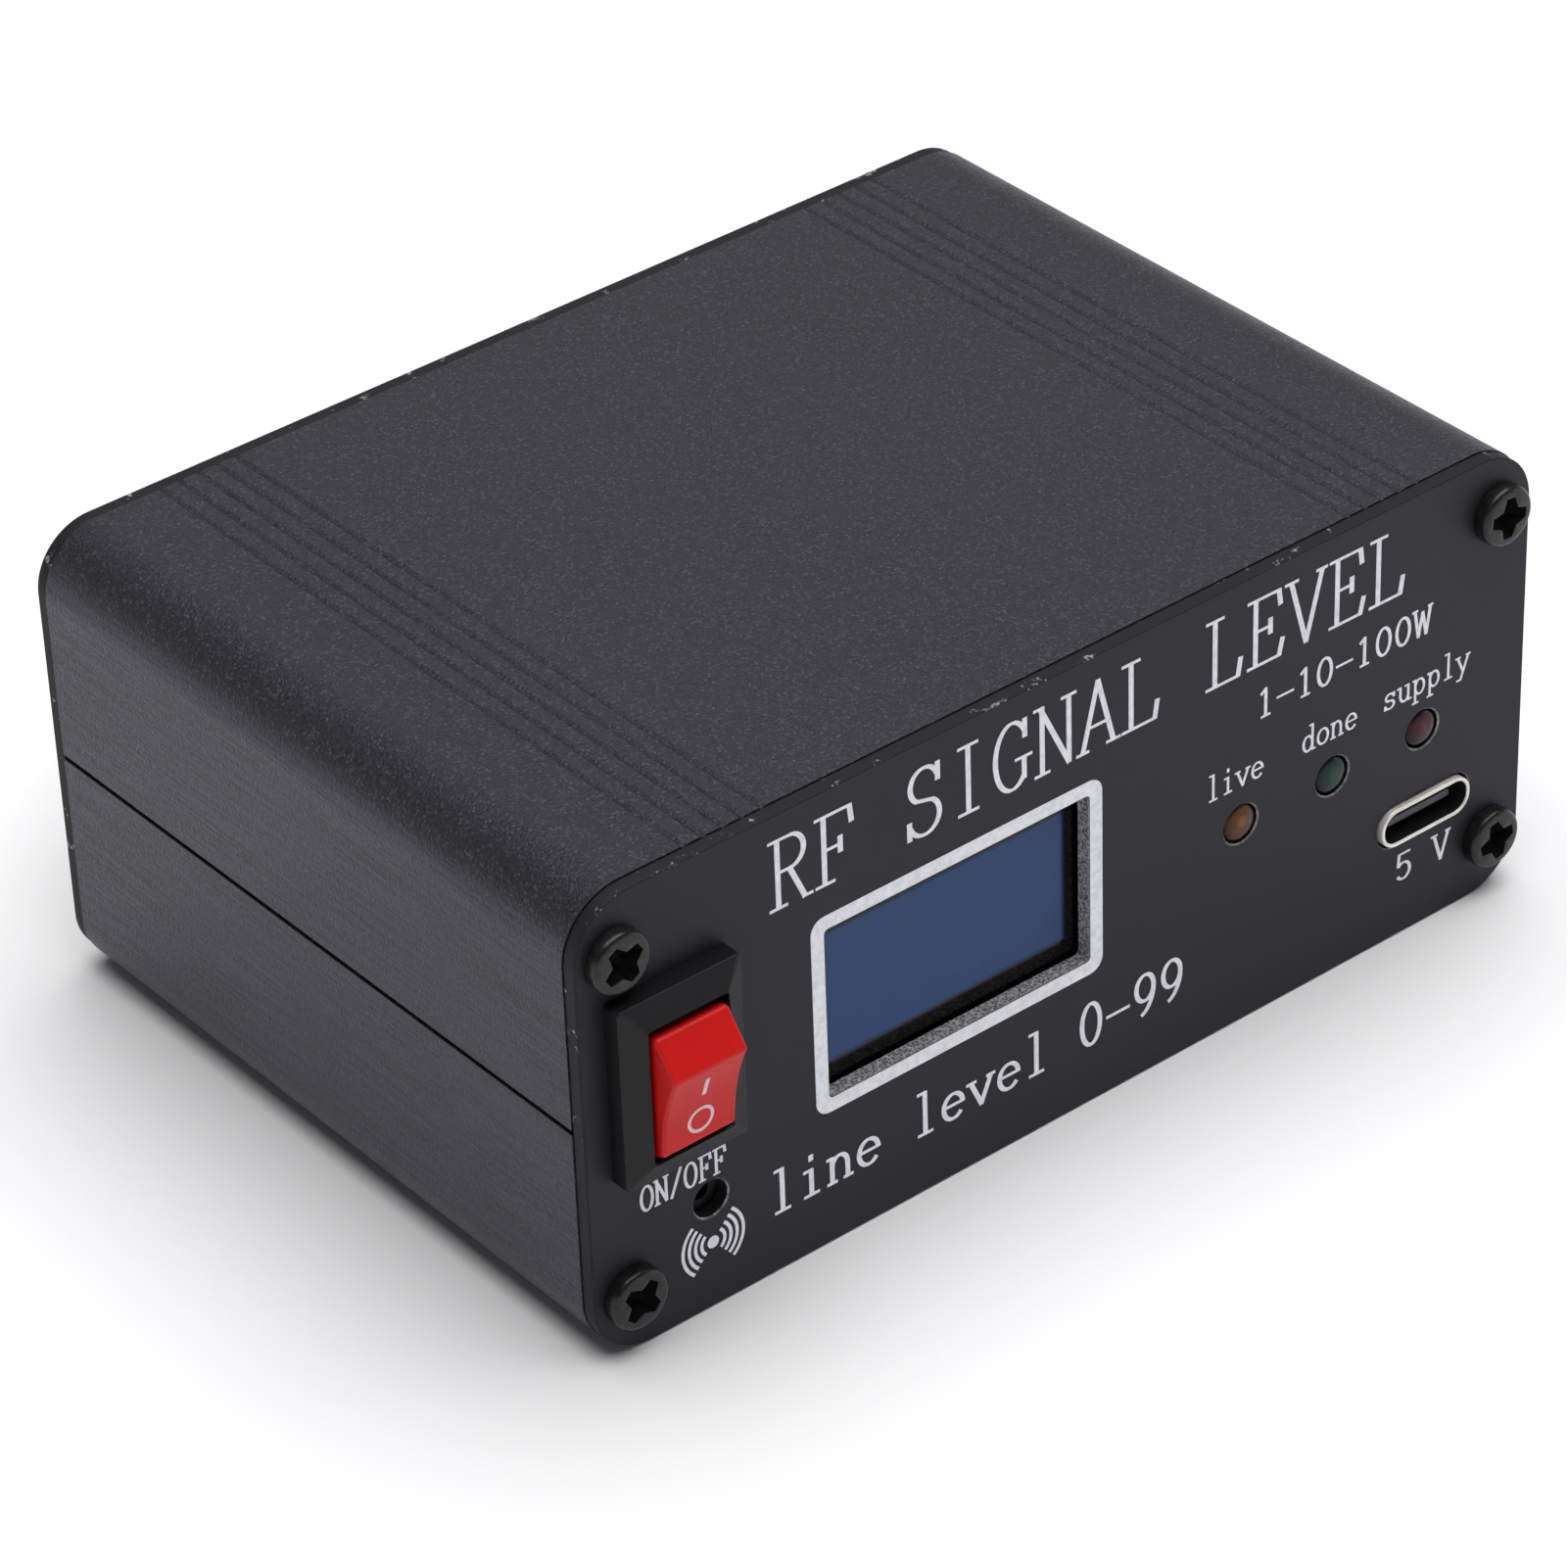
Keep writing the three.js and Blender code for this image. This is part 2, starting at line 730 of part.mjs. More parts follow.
function plungerSpring() {
  const margin = 2 * springWire;
  const start = -plungerBoreTop + margin;
  const end = stemLength - plungerSeat - margin;
  const coil = new Coil(plungerRadius - springWire, start, end, springTurns);
  return wireAlong(coil, springWire, fineWireSides, springTurns * stepsPerTurn);
}

// A shallow V of strip that rocks on the common terminal.
function contactBlade() {
  const t = contactThickness;
  const outline = [
    point(0, 0),
    point(bladeHalf, bladeRise),
    point(bladeHalf, bladeRise + t),
    point(0, t),
    point(-bladeHalf, bladeRise + t),
    point(-bladeHalf, bladeRise),
  ];
  return sweepX(outline, -bladeWidth / 2, bladeWidth / 2);
}

function terminal(z, startDepth) {
  const endDepth = switchBodyDepth + terminalReach;
  return geometryOf(switchBox(terminalWidth, terminalThickness, startDepth, endDepth, z));
}

function bladeDrop() {
  const tilt = THREE.MathUtils.degToRad(bladeTilt);
  return bladeHalf * Math.sin(tilt) - bladeRise * Math.cos(tilt);
}

function addSwitch() {
  const group = new THREE.Group();
  group.position.set(switchX, frontFace, switchZ);
  meter.add(group);
  place("switch_housing", switchHousing(), switchBlack, group);
  const commonTop = bladeDepth + contactGap;
  place("common_terminal", terminal(0, commonTop), brass, group);
  place("load_terminal", terminal(-loadTerminalOffset, commonTop + bladeDrop()), brass, group);

  const tilting = new THREE.Group();
  tilting.position.set(0, pivotDepth, 0);
  tilting.rotation.x = THREE.MathUtils.degToRad(rockerTilt);
  group.add(tilting);
  place("switch_rocker", rocker(), rockerRed, tilting);
  place("switch_plunger", plunger(), brass, tilting);
  place("plunger_spring", plungerSpring(), steel, tilting);

  const blade = place("contact_blade", contactBlade(), brass, group);
  blade.position.set(0, bladeDepth, 0);
  blade.rotation.x = -THREE.MathUtils.degToRad(bladeTilt);
}

// ---------------------------------------------------------------- display

function addDisplay() {
  const glassFront = plateBack + glassGap;
  const glassBack = glassFront + glassThickness;
  const glassZ = displayZ - glassDrop;
  const boardFront = glassBack + boardGap;
  const boardBack = boardFront + displayBoardThickness;
  const boardZ = glassZ + displayBoardDrop;
  const headerZ = boardZ + displayBoardHeight / 2 - headerSize;

  const glass = rectangle(displayX, glassZ, glassWidth, glassHeight);
  place("display_glass", sweepY(glass, glassFront, glassBack), glassBlue);
  const board = rectangle(displayX, boardZ, displayBoardWidth, displayBoardHeight);
  place("display_board", sweepY(board, boardFront, boardBack), boardGreen);
  const header = rectangle(displayX, headerZ, headerLength, headerSize);
  place("display_header", sweepY(header, boardBack, boardBack + headerSize), chipBlack);

  place("display_ribbon", displayRibbon(headerZ, boardBack + headerSize + boardGap), ribbonGrey);
}

// The ribbon leaves the header backwards and bows down to the main board.
function displayRibbon(topZ, startY) {
  const bottomZ = boardTop + wireGap + ribbonThickness;
  const middleLine = new THREE.CubicBezierCurve(
    point(topZ, -startY),
    point(topZ, -startY - ribbonBow),
    point(bottomZ, -startY - ribbonBow),
    point(bottomZ, -startY - ribbonFoot),
  );
  const face = middleLine.getPoints(ribbonSteps);
  const back = face.map((p, i) => {
    const along = middleLine.getTangent(i / ribbonSteps);
    return point(p.x - along.y * ribbonThickness, p.y + along.x * ribbonThickness);
  });
  const half = headerLength / 2;
  return sweepX([...face, ...back.reverse()], displayX - half, displayX + half);
}

// ---------------------------------------------------------------- main board and what it carries

// The board's front edge steps back on the left, to clear the buzzer and the display. Its rear edge stops
// short of the sockets' insulators.
function mainBoard() {
  const sideEdge = right - wall - slotDepth + slotReach;
  const rearEdge = rearFace - insulatorBehind - boardRearGap;
  const nearEdge = plateBack + boardGap;
  const farEdge = plateBack + displayStack() + wireGap;
  const stepX = displayX + displayBoardWidth / 2 + boardStepGap;
  const outline = [
    point(-sideEdge, farEdge),
    point(stepX, farEdge),
    point(stepX, nearEdge),
    point(sideEdge, nearEdge),
    point(sideEdge, rearEdge),
    point(-sideEdge, rearEdge),
  ];
  return sweepZ(outline, boardBottom, boardTop);
}

// How far the buzzer and the display reach back from the front plate.
function displayStack() {
  const display = glassGap + glassThickness + boardGap + displayBoardThickness;
  return Math.max(display, buzzerLength + boardGap);
}

const portFront = frontFace - portProud;
const portBack = portFront + portLength;

// The port's section, in from its outside by a wall.
function portOutline(inset) {
  const [width, height] = [portWidth - 2 * inset, portHeight - 2 * inset];
  return roundedRectangle(usbX, usbZ, width, height, height / 2 - portEndFlat, cornerSteps);
}

function portShell() {
  const tube = solidOf(sweepY(portOutline(0), portFront, portBack));
  const hollow = sweepY(portOutline(portWall), portFront - overshoot, portBack - portBackWall);
  return geometryOf(cut(tube, [solidOf(hollow)]));
}

function portTongue() {
  const outline = rectangle(usbX, usbZ, tongueWidth, tongueThickness);
  return sweepY(outline, portFront + tongueFromMouth, portBack - portBackWall);
}

// A lamp: a domed lens with a rim behind the plate, and two leads that turn down to the board.
function lamp(index) {
  const tip = frontFace - lampProud;
  const shoulder = tip + lampRadius;
  const rim = lampRear - lampFlangeThickness;
  const dome = arc(0, 0, lampRadius, 0, 90, domeSteps).map((p) => [p.x, shoulder - p.y]);
  const profile = [
    [0, tip],
    ...dome.slice(0, domeSteps).reverse(),
    [lampRadius, rim],
    [lampRadius + lampFlange, rim],
    [lampRadius + lampFlange, lampRear],
    [0, lampRear],
  ];
  const lens = solidOf(turned(profile, smallRound).translate(lampX(index), 0, lampZ));
  const root = lampRear - leadRoot;
  const foot = boardTop + boardGap;
  const height = lampZ + leadThickness / 2 - foot;
  const leads = [-leadSpacing, leadSpacing].map((offset) => {
    const x = lampX(index) + offset;
    const along = new THREE.BoxGeometry(leadThickness, leadY - root, leadThickness);
    const down = new THREE.BoxGeometry(leadThickness, leadThickness, height);
    along.translate(x, (leadY + root) / 2, lampZ);
    down.translate(x, leadY, foot + height / 2);
    return join([solidOf(along), solidOf(down)]);
  });
  return geometryOf(join([lens, ...leads]));
}

function buzzer() {
  const front = plateBack + boardGap;
  const outline = circle(buzzerX, buzzerZ, buzzerRadius, mediumRound);
  const body = solidOf(sweepY(outline, front, front + buzzerLength));
  const sound = circle(buzzerX, buzzerZ, buzzerSoundRadius, smallRound);
  return geometryOf(cut(body, [solidOf(sweepY(sound, front - overshoot, front + buzzerSoundDepth))]));
}

function addElectronics() {
  place("main_board", mainBoard(), boardGreen);
  place("port_shell", portShell(), nickel);
  place("port_tongue", portTongue(), chipBlack);
  lampNames.forEach((name, i) => place(name, lamp(i), lampMaterials[i]));
  place("buzzer", buzzer(), switchBlack);
  const controllerX = displayX + (headerLength + controller.size) / 2 + controller.besideRibbon;
  const controllerY = leadY + controller.behindLeads + controller.size / 2;
  const chip = rectangle(controllerX, controllerY, controller.size, controller.size);
  place("controller_chip", sweepZ(chip, boardTop, boardTop + controller.height), chipBlack);
  const chargerY = leadY + charger.behindLeads + charger.length / 2;
  const driver = rectangle(right - charger.fromRight, chargerY, charger.width, charger.length);
  place("charge_chip", sweepZ(driver, boardTop, boardTop + charger.height), chipBlack);
}

// ---------------------------------------------------------------- cell

function addCell() {
  const padTop = wall + padThickness;
  const pad = rectangle(0, 0, cell.width - 2 * padInset, cell.length - 2 * padInset);
  place("cell_pad", sweepZ(pad, wall, padTop), foam);
  const body = roundedRectangle(0, 0, cell.width, cell.length, cell.edge, smallCornerSteps);
  place("cell", sweepZ(body, padTop, padTop + cell.height), foil);
  const wireZ = padTop + cell.height / 2;
  const startY = cell.length / 2 + wireGap;
  const bendY = startY + cellWireBend;
  const endZ = boardBottom - wireGap;
  const wires = { cell_wire_red: [-cellWireSpread, wireRed], cell_wire_black: [cellWireSpread, wireBlack] };
  for (const [name, [x, material]] of Object.entries(wires)) {
    const curve = new THREE.CubicBezierCurve3(
      new THREE.Vector3(x, startY, wireZ),
      new THREE.Vector3(x, bendY, wireZ),
      new THREE.Vector3(x, bendY, endZ - cellWireDrop),
      new THREE.Vector3(x, bendY, endZ),
    );
    place(name, wireAlong(curve, wireRadius, wireSides, wireSteps), material);
  }
}

// ---------------------------------------------------------------- switch wires

function addSwitchWires() {
  const startY = frontFace + switchBodyDepth + terminalReach + wireGap;
  const wires = {
    switch_wire_red: [0, wireRed],
    switch_wire_black: [-loadTerminalOffset, wireBlack],
  };
  for (const [name, [z, material]] of Object.entries(wires)) {
    const bendY = startY + switchWireBend + z / 2;
    const curve = new THREE.CubicBezierCurve3(
      new THREE.Vector3(switchX, startY, switchZ + z),
      new THREE.Vector3(switchX, bendY, switchZ + z),
      new THREE.Vector3(switchX - z, bendY, boardTop + switchWireDrop),
      new THREE.Vector3(switchX - z, bendY, boardTop + wireGap),
    );
    place(name, wireAlong(curve, wireRadius, wireSides, wireSteps), material);
  }
}

// ---------------------------------------------------------------- coaxial sockets

// The pieces of a socket in its own frame: the flange's back at Y 0, the mouth towards +Y.
const socketMouth = socketFlangeThickness + barrelLength;
const insulatorFace = socketMouth - collarDepth;

function socketBody() {
  const square = roundedRectangle(0, 0, socketFlange, socketFlange, socketFlangeCorner, smallCornerSteps);
  const flange = solidOf(sweepY(square, 0, socketFlangeThickness));
  const barrel = solidOf(sweepY(circle(0, 0, barrelRadius, largeRound), 0, socketMouth));
  const past = socketMouth + overshoot;
  const bore = circle(0, 0, insulatorRadius + socketFitGap, mediumRound);
  const collar = circle(0, 0, collarRadius, mediumRound);
  const hollows = [solidOf(sweepY(bore, -overshoot, past)), solidOf(sweepY(collar, insulatorFace, past))];
  const holes = screwSquare(0, 0).map(({ x, z }) => {
    const hole = circle(x, z, flangeScrew.shank + threadGap, smallRound);
    return solidOf(sweepY(hole, -overshoot, socketFlangeThickness + overshoot));
  });
  return geometryOf(cut(join([flange, barrel]), [...hollows, ...holes]));
}

function socketInsulator() {
  const hole = circle(0, 0, contactRadius + socketFitGap, smallRound);
  return sweepY(circle(0, 0, insulatorRadius, mediumRound), -insulatorBehind, insulatorFace, [hole]);
}

function socketContact() {
  const face = insulatorFace + contactProud;
  const waist = -insulatorBehind - contactRear;
  const profile = [
    [0, -solderCupBehind],
    [solderCupRadius, -solderCupBehind],
    [solderCupRadius, waist],
    [contactRadius, waist],
    [contactRadius, face],
    [pinBoreRadius, face],
    [pinBoreRadius, face - pinBoreDepth],
    [0, face - pinBoreDepth],
  ];
  return turned(profile, smallRound);
}

function addSockets() {
  const names = ["transmitter", "antenna"];
  const screw = panHeadScrew(flangeScrew);
  names.forEach((name, side) => {
    const x = (side - 0.5) * socketSpacing;
    const pieces = [
      [`${name}_socket_body`, socketBody(), nickel],
      [`${name}_socket_insulator`, socketInsulator(), ivory],
      [`${name}_socket_contact`, socketContact(), pinGold],
    ];
    for (const [node, geometry, material] of pieces) {
      place(node, geometry, material).position.set(x, rearFace, middle);
    }
    screwSquare(x, middle).forEach((spot, i) => {
      const mesh = place(`${name}_flange_screw_${i + 1}`, screw, steel);
      mesh.position.set(spot.x, rearFace + socketFlangeThickness, spot.z);
    });
  });
}

// ---------------------------------------------------------------- line between the sockets

// The centre line of a winding that wraps a ring core whose axis is X.
class Winding extends THREE.Curve {
  getPoint(t, target = new THREE.Vector3()) {
    const round = 2 * Math.PI * windingShare * t;
    const turn = 2 * Math.PI * windingTurns * t;
    const ring = (coreOuter + coreInner) / 2;
    const halfWall = (coreOuter - coreInner) / 2;
    const along = coreThickness / 2;
    const clear = windingGap + windingWire;
    const radius = ring + (halfWall * Math.SQRT2 + clear) * Math.cos(turn);
    const x = (along * Math.SQRT2 + clear) * Math.sin(turn);
    return target.set(x, radius * Math.cos(round), radius * Math.sin(round));
  }
}

function addLine() {
  const group = new THREE.Group();
  group.position.set(0, lineY, middle);
  meter.add(group);
  const length = socketSpacing + 2 * lineOverrun;
  const line = new THREE.CylinderGeometry(lineRadius, lineRadius, length, smallRound);
  place("through_line", line.rotateZ(Math.PI / 2), brass, group);
  const [back, front] = [-coreThickness / 2, coreThickness / 2];
  const section = [
    [coreInner, back],
    [coreOuter, back],
    [coreOuter, front],
    [coreInner, front],
    [coreInner, back],
  ];
  const core = turned(section, mediumRound).rotateZ(Math.PI / 2);
  const winding = wireAlong(new Winding(), windingWire, fineWireSides, windingTurns * stepsPerTurn);
  ["forward", "reflected"].forEach((name, side) => {
    const x = (side - 0.5) * coreSpacing;
    place(`${name}_core`, core, ferrite, group).position.x = x;
    place(`${name}_winding`, winding, enamel, group).position.x = x;
  });
}

addCase();
addSwitch();
addDisplay();
addElectronics();
addCell();
addSwitchWires();
addSockets();
addLine();

export default meter;
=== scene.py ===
"""A bench SWR and power meter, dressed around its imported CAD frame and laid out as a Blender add-on."""

import json
import math

import bmesh
import bpy
from bpy.props import FloatProperty, FloatVectorProperty, IntProperty, PointerProperty, StringProperty
from mathutils import Matrix, Vector
from mathutils.geometry import delaunay_2d_cdt


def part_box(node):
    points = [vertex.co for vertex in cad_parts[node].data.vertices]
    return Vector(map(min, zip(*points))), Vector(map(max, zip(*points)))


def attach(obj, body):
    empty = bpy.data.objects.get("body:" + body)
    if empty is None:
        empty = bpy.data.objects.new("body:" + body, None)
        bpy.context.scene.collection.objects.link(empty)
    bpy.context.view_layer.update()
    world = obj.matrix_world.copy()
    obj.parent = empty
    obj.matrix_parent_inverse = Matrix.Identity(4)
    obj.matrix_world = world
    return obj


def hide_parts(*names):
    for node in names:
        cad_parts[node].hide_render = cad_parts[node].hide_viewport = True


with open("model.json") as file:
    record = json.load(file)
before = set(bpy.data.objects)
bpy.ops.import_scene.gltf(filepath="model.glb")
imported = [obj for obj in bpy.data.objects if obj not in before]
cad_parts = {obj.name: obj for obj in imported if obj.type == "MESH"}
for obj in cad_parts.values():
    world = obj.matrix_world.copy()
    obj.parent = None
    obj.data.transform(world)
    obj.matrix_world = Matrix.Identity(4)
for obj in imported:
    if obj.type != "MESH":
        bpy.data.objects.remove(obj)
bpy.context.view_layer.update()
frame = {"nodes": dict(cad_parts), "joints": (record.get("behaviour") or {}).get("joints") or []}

bl_info = {
    "name": "Bench SWR Meter",
    "version": (1, 0, 0),
    "blender": (4, 5, 0),
    "location": "3D View > Sidebar > Meter",
    "description": "Builds the case, plates, switch, display, lamps, port and sockets of a bench SWR meter",
    "category": "Add Mesh",
}

MM = 0.001


# ------------------------------------------------------------------ places taken from the frame


def middle(node):
    low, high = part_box(node)
    return (low + high) / 2


def extent(node):
    low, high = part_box(node)
    return high - low


def joint_place(name):
    joint = next(j for j in frame["joints"] if j["name"] == name)
    return Vector(joint["pos_m"])


PLATE_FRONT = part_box("front_plate")[0].y
PLATE_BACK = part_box("front_plate")[1].y
PLATE_MIDDLE = middle("front_plate")
REAR_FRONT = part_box("rear_plate")[0].y
REAR_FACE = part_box("rear_plate")[1].y
SWITCH = middle("switch_housing")
PIVOT = joint_place("rocker_tilt")
WINDOW = Vector((middle("display_glass").x, 0, PLATE_MIDDLE.z + 0.53 * MM))
LAMPS = ("run_lamp", "full_lamp", "charge_lamp")
SOCKETS = ("transmitter", "antenna")
LAMP_FLANGE = 1.9 * MM  # radius of the flange round a lamp's foot
SWITCH_INSET_X = 1.9 * MM  # the switch's body is this much narrower than its bezel
SWITCH_INSET_Z = 1.6 * MM  # and this much lower


def lamp_middle(name):
    """Where a lamp's axis meets the plate: its leads reach far below the lens, so its top counts."""
    low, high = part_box(name)
    return (low.x + high.x) / 2, high.z - LAMP_FLANGE


# ------------------------------------------------------------------ what a user would change


def length(name, description, millimetres):
    return FloatProperty(
        name=name, description=description, default=millimetres * MM, min=0, unit="LENGTH", precision=5
    )


def angle(name, description, degrees):
    return FloatProperty(name=name, description=description, default=math.radians(degrees), subtype="ANGLE")


def strength(name, description, value):
    return FloatProperty(name=name, description=description, default=value, min=0, subtype="UNSIGNED")


def colour(name, description, red, green, blue):
    return FloatVectorProperty(
        name=name, description=description, default=(red, green, blue), min=0, max=1, subtype="COLOR"
    )


class CaseSizes(bpy.types.PropertyGroup):
    """The two extruded shells."""

    corner: length("Corner radius", "Outside radius of the case's long edges", 5)
    wall: length("Wall", "Thickness of the shells", 1.6)
    lip: length("Lip", "Thickness of the upper shell's lip at the seam", 0.75)
    tongue: length("Tongue", "How far the lower shell's tongue stands above the seam", 2)
    edge: length("End rounding", "Rounding of the sawn ends of the shells", 0.12)
    groove_pitch: length("Groove pitch", "Distance between two grooves", 1.67)
    groove_width: length("Groove width", "Width of a groove at the surface", 0.55)
    groove_depth: length("Groove depth", "Depth of a groove", 0.13)
    groove_start: length("First groove", "Distance from the side of the case to the first groove", 10.5)
    groove_count: IntProperty(
        name="Grooves", description="Grooves in each band", default=5, min=0, max=9, subtype="UNSIGNED"
    )
    tint: colour("Anodising", "Colour of the anodised shells", 0.0105, 0.0102, 0.0118)


class PlateSizes(bpy.types.PropertyGroup):
    """The front and rear plates."""

    rim: length("Edge rounding", "Rounding of the plates' outer edges", 0.12)
    chamfer: length("Hole chamfer", "Chamfer of the round holes", 0.11)
    window_width: length("Window width", "Width of the display window", 23.9)
    window_height: length("Window height", "Height of the display window", 14.1)
    border_width: length("Border width", "Outside width of the printed border", 26.4)
    border_height: length("Border height", "Outside height of the printed border", 16.6)
    lamp_hole: length("Lamp hole radius", "Radius of the lamps' holes", 1.62)
    sound_hole: length("Sound hole radius", "Radius of the hole before the buzzer", 1.5)
    port_gap: length("Port gap", "Gap around the charging port", 0.25)
    tint: colour("Coating", "Colour of the plates' matt coating", 0.0135, 0.013, 0.0148)
    ink: colour("Ink", "Colour of the printed lettering", 0.86, 0.87, 0.92)


class PrintSettings(bpy.types.PropertyGroup):
    """The lettering on the front plate."""

    title: StringProperty(name="Title", description="Title along the top", default="RF SIGNAL LEVEL")
    scale: StringProperty(name="Scale", description="Line under the title", default="1-10-100W")
    reading: StringProperty(name="Reading", description="Line along the bottom", default="line level 0-99")
    switch: StringProperty(name="Switch", description="Label under the switch", default="ON/OFF")
    port: StringProperty(name="Port", description="Label under the charging port", default="5 V")
    run: StringProperty(name="Run lamp", description="Label over the run lamp", default="live")
    full: StringProperty(name="Full lamp", description="Label over the full lamp", default="done")
    charge: StringProperty(name="Charge lamp", description="Label over the charge lamp", default="supply")
    thickness: length("Ink thickness", "How far the ink stands off the plate", 0.02)


class ScrewSizes(bpy.types.PropertyGroup):
    """Pan-head screws."""

    case_head: length("Case screw head", "Radius of the plate screws' heads", 2.4)
    case_height: length("Case screw height", "Height of the plate screws' heads", 1.3)
    case_recess: length("Case recess", "Half length of the cross recess of the plate screws", 1.62)
    flange_recess: length("Flange recess", "Half length of the cross recess of the flange screws", 1.5)
    edge: length("Edge rounding", "Rounding of the heads' edges", 0.09)
    tint: colour("Plate screws", "Colour of the blackened plate screws", 0.009, 0.0085, 0.008)


class SwitchSizes(bpy.types.PropertyGroup):
    """The rocker switch."""

    tilt: angle("Rest tilt", "Tilt of the rocker at rest", 13.5)
    bezel_edge: length("Bezel edge", "Height of the bezel at its outer edge", 1.6)
    bezel_rim: length("Bezel rim", "Height of the bezel at the opening", 2.45)
    opening_width: length("Opening width", "Width of the rocker's opening", 6.72)
    opening_height: length("Opening height", "Height of the rocker's opening", 11)
    sweep: length("Sweep", "Radius of the pocket that the rocker swings in", 6.418)
    face_half: length("Face half", "Half length of the rocker's face", 3.63)
    face_height: length("Face height", "Height of the rocker's ridges over its pivot", 5.13)
    face_sag: length("Face sag", "How far the rocker's face is hollowed", 0.4)
    rounding: length("Rounding", "Rounding of the rocker's edges", 0.26)
    mark: colour("Marks", "Colour of the rocker's marks", 0.78, 0.6, 0.66)
    red: colour("Rocker", "Colour of the rocker", 0.58, 0.009, 0.008)


class DisplaySizes(bpy.types.PropertyGroup):
    """The display behind the window."""

    lit_width: length("Lit width", "Width of the display's lit area", 21.74)
    lit_height: length("Lit height", "Height of the display's lit area", 10.86)
    blue: colour("Panel", "Colour of the dark display panel", 0.012, 0.047, 0.152)


class LampColours(bpy.types.PropertyGroup):
    """The three indicator lamps."""

    run: colour("Run lamp", "Colour of the unlit run lamp", 0.09, 0.034, 0.008)
    full: colour("Full lamp", "Colour of the unlit full lamp", 0.007, 0.026, 0.02)
    charge: colour("Charge lamp", "Colour of the unlit charge lamp", 0.042, 0.008, 0.013)


class SocketSizes(bpy.types.PropertyGroup):
    """The coaxial sockets on the rear plate."""

    barrel: length("Barrel radius", "Outside radius of the threaded barrel", 7.94)
    thread_pitch: length("Thread pitch", "Pitch of the barrel's thread", 1.058)
    thread_depth: length("Thread depth", "Depth of the barrel's thread", 0.55)
    flange: length("Flange thickness", "Thickness of the socket's flange", 1.6)
    bore: length("Mouth radius", "Radius of the barrel's mouth", 6.2)
    collar: length("Mouth depth", "Depth from the barrel's end to the insulator", 7)
    notch: length("Notch depth", "Depth of the notches in the barrel's end", 0.8)


class StageSettings(bpy.types.PropertyGroup):
    """The floor, the lights and the camera."""

    floor: colour("Floor", "Colour of the floor", 0.9, 0.9, 0.91)
    focal: FloatProperty(name="Lens", description="Focal length in mm", default=146.62, unit="CAMERA")
    overhead: strength("Overhead", "Brightness of the light overhead", 3.35)
    sky: strength("Sky", "Brightness of the surroundings above the horizon", 0.07)


# ------------------------------------------------------------------ outlines, as points across and up


def arc(x, z, across, up, start, end, steps):
    """Points along part of an ellipse, with its angles in degrees."""
    turns = [math.radians(start + (end - start) * i / steps) for i in range(steps + 1)]
    return [(x + across * math.cos(a), z + up * math.sin(a)) for a in turns]


def circle(x, z, radius, steps=48):
    return arc(x, z, radius, radius, 0, 360, steps)[:-1]


def round_box(x, z, width, height, radius, steps=6):
    across, up = width / 2 - radius, height / 2 - radius
    points = []
    for side, top, start in ((1, 1, 0), (-1, 1, 90), (-1, -1, 180), (1, -1, 270)):
        points += arc(x + side * across, z + top * up, radius, radius, start, start + 90, steps)
    return points


def mirrored(points):
    return [(-x, z) for x, z in points]


def anticlockwise(points):
    area = sum(a[0] * b[1] - b[0] * a[1] for a, b in zip(points, points[1:] + points[:1]))
    return points if area > 0 else points[::-1]


def flat_area(adds, cuts=()):
    """Corners and triangles of everything inside one of adds and outside each of cuts."""
    corners, faces = [], []
    for outline in [*adds, *cuts]:
        faces.append(range(len(corners), len(corners) + len(outline)))
        corners += [Vector(p) / MM for p in anticlockwise(outline)]
    made = delaunay_2d_cdt(corners, [], [list(f) for f in faces], 1, 1e-5)
    kept = []
    for triangle, sources in zip(made[2], made[5]):
        if sources and max(sources) < len(adds):
            kept.append(triangle)
    return [p * MM for p in made[0]], kept


# ------------------------------------------------------------------ closed meshes


def upright(across, up, depth):
    return (across, depth, up)


def sideways(across, up, depth):
    """Lays an outline of distances along and out from the switch, swept across it."""
    return (depth, -up, across)


def flat_down(across, up, depth):
    return (across, up, depth)


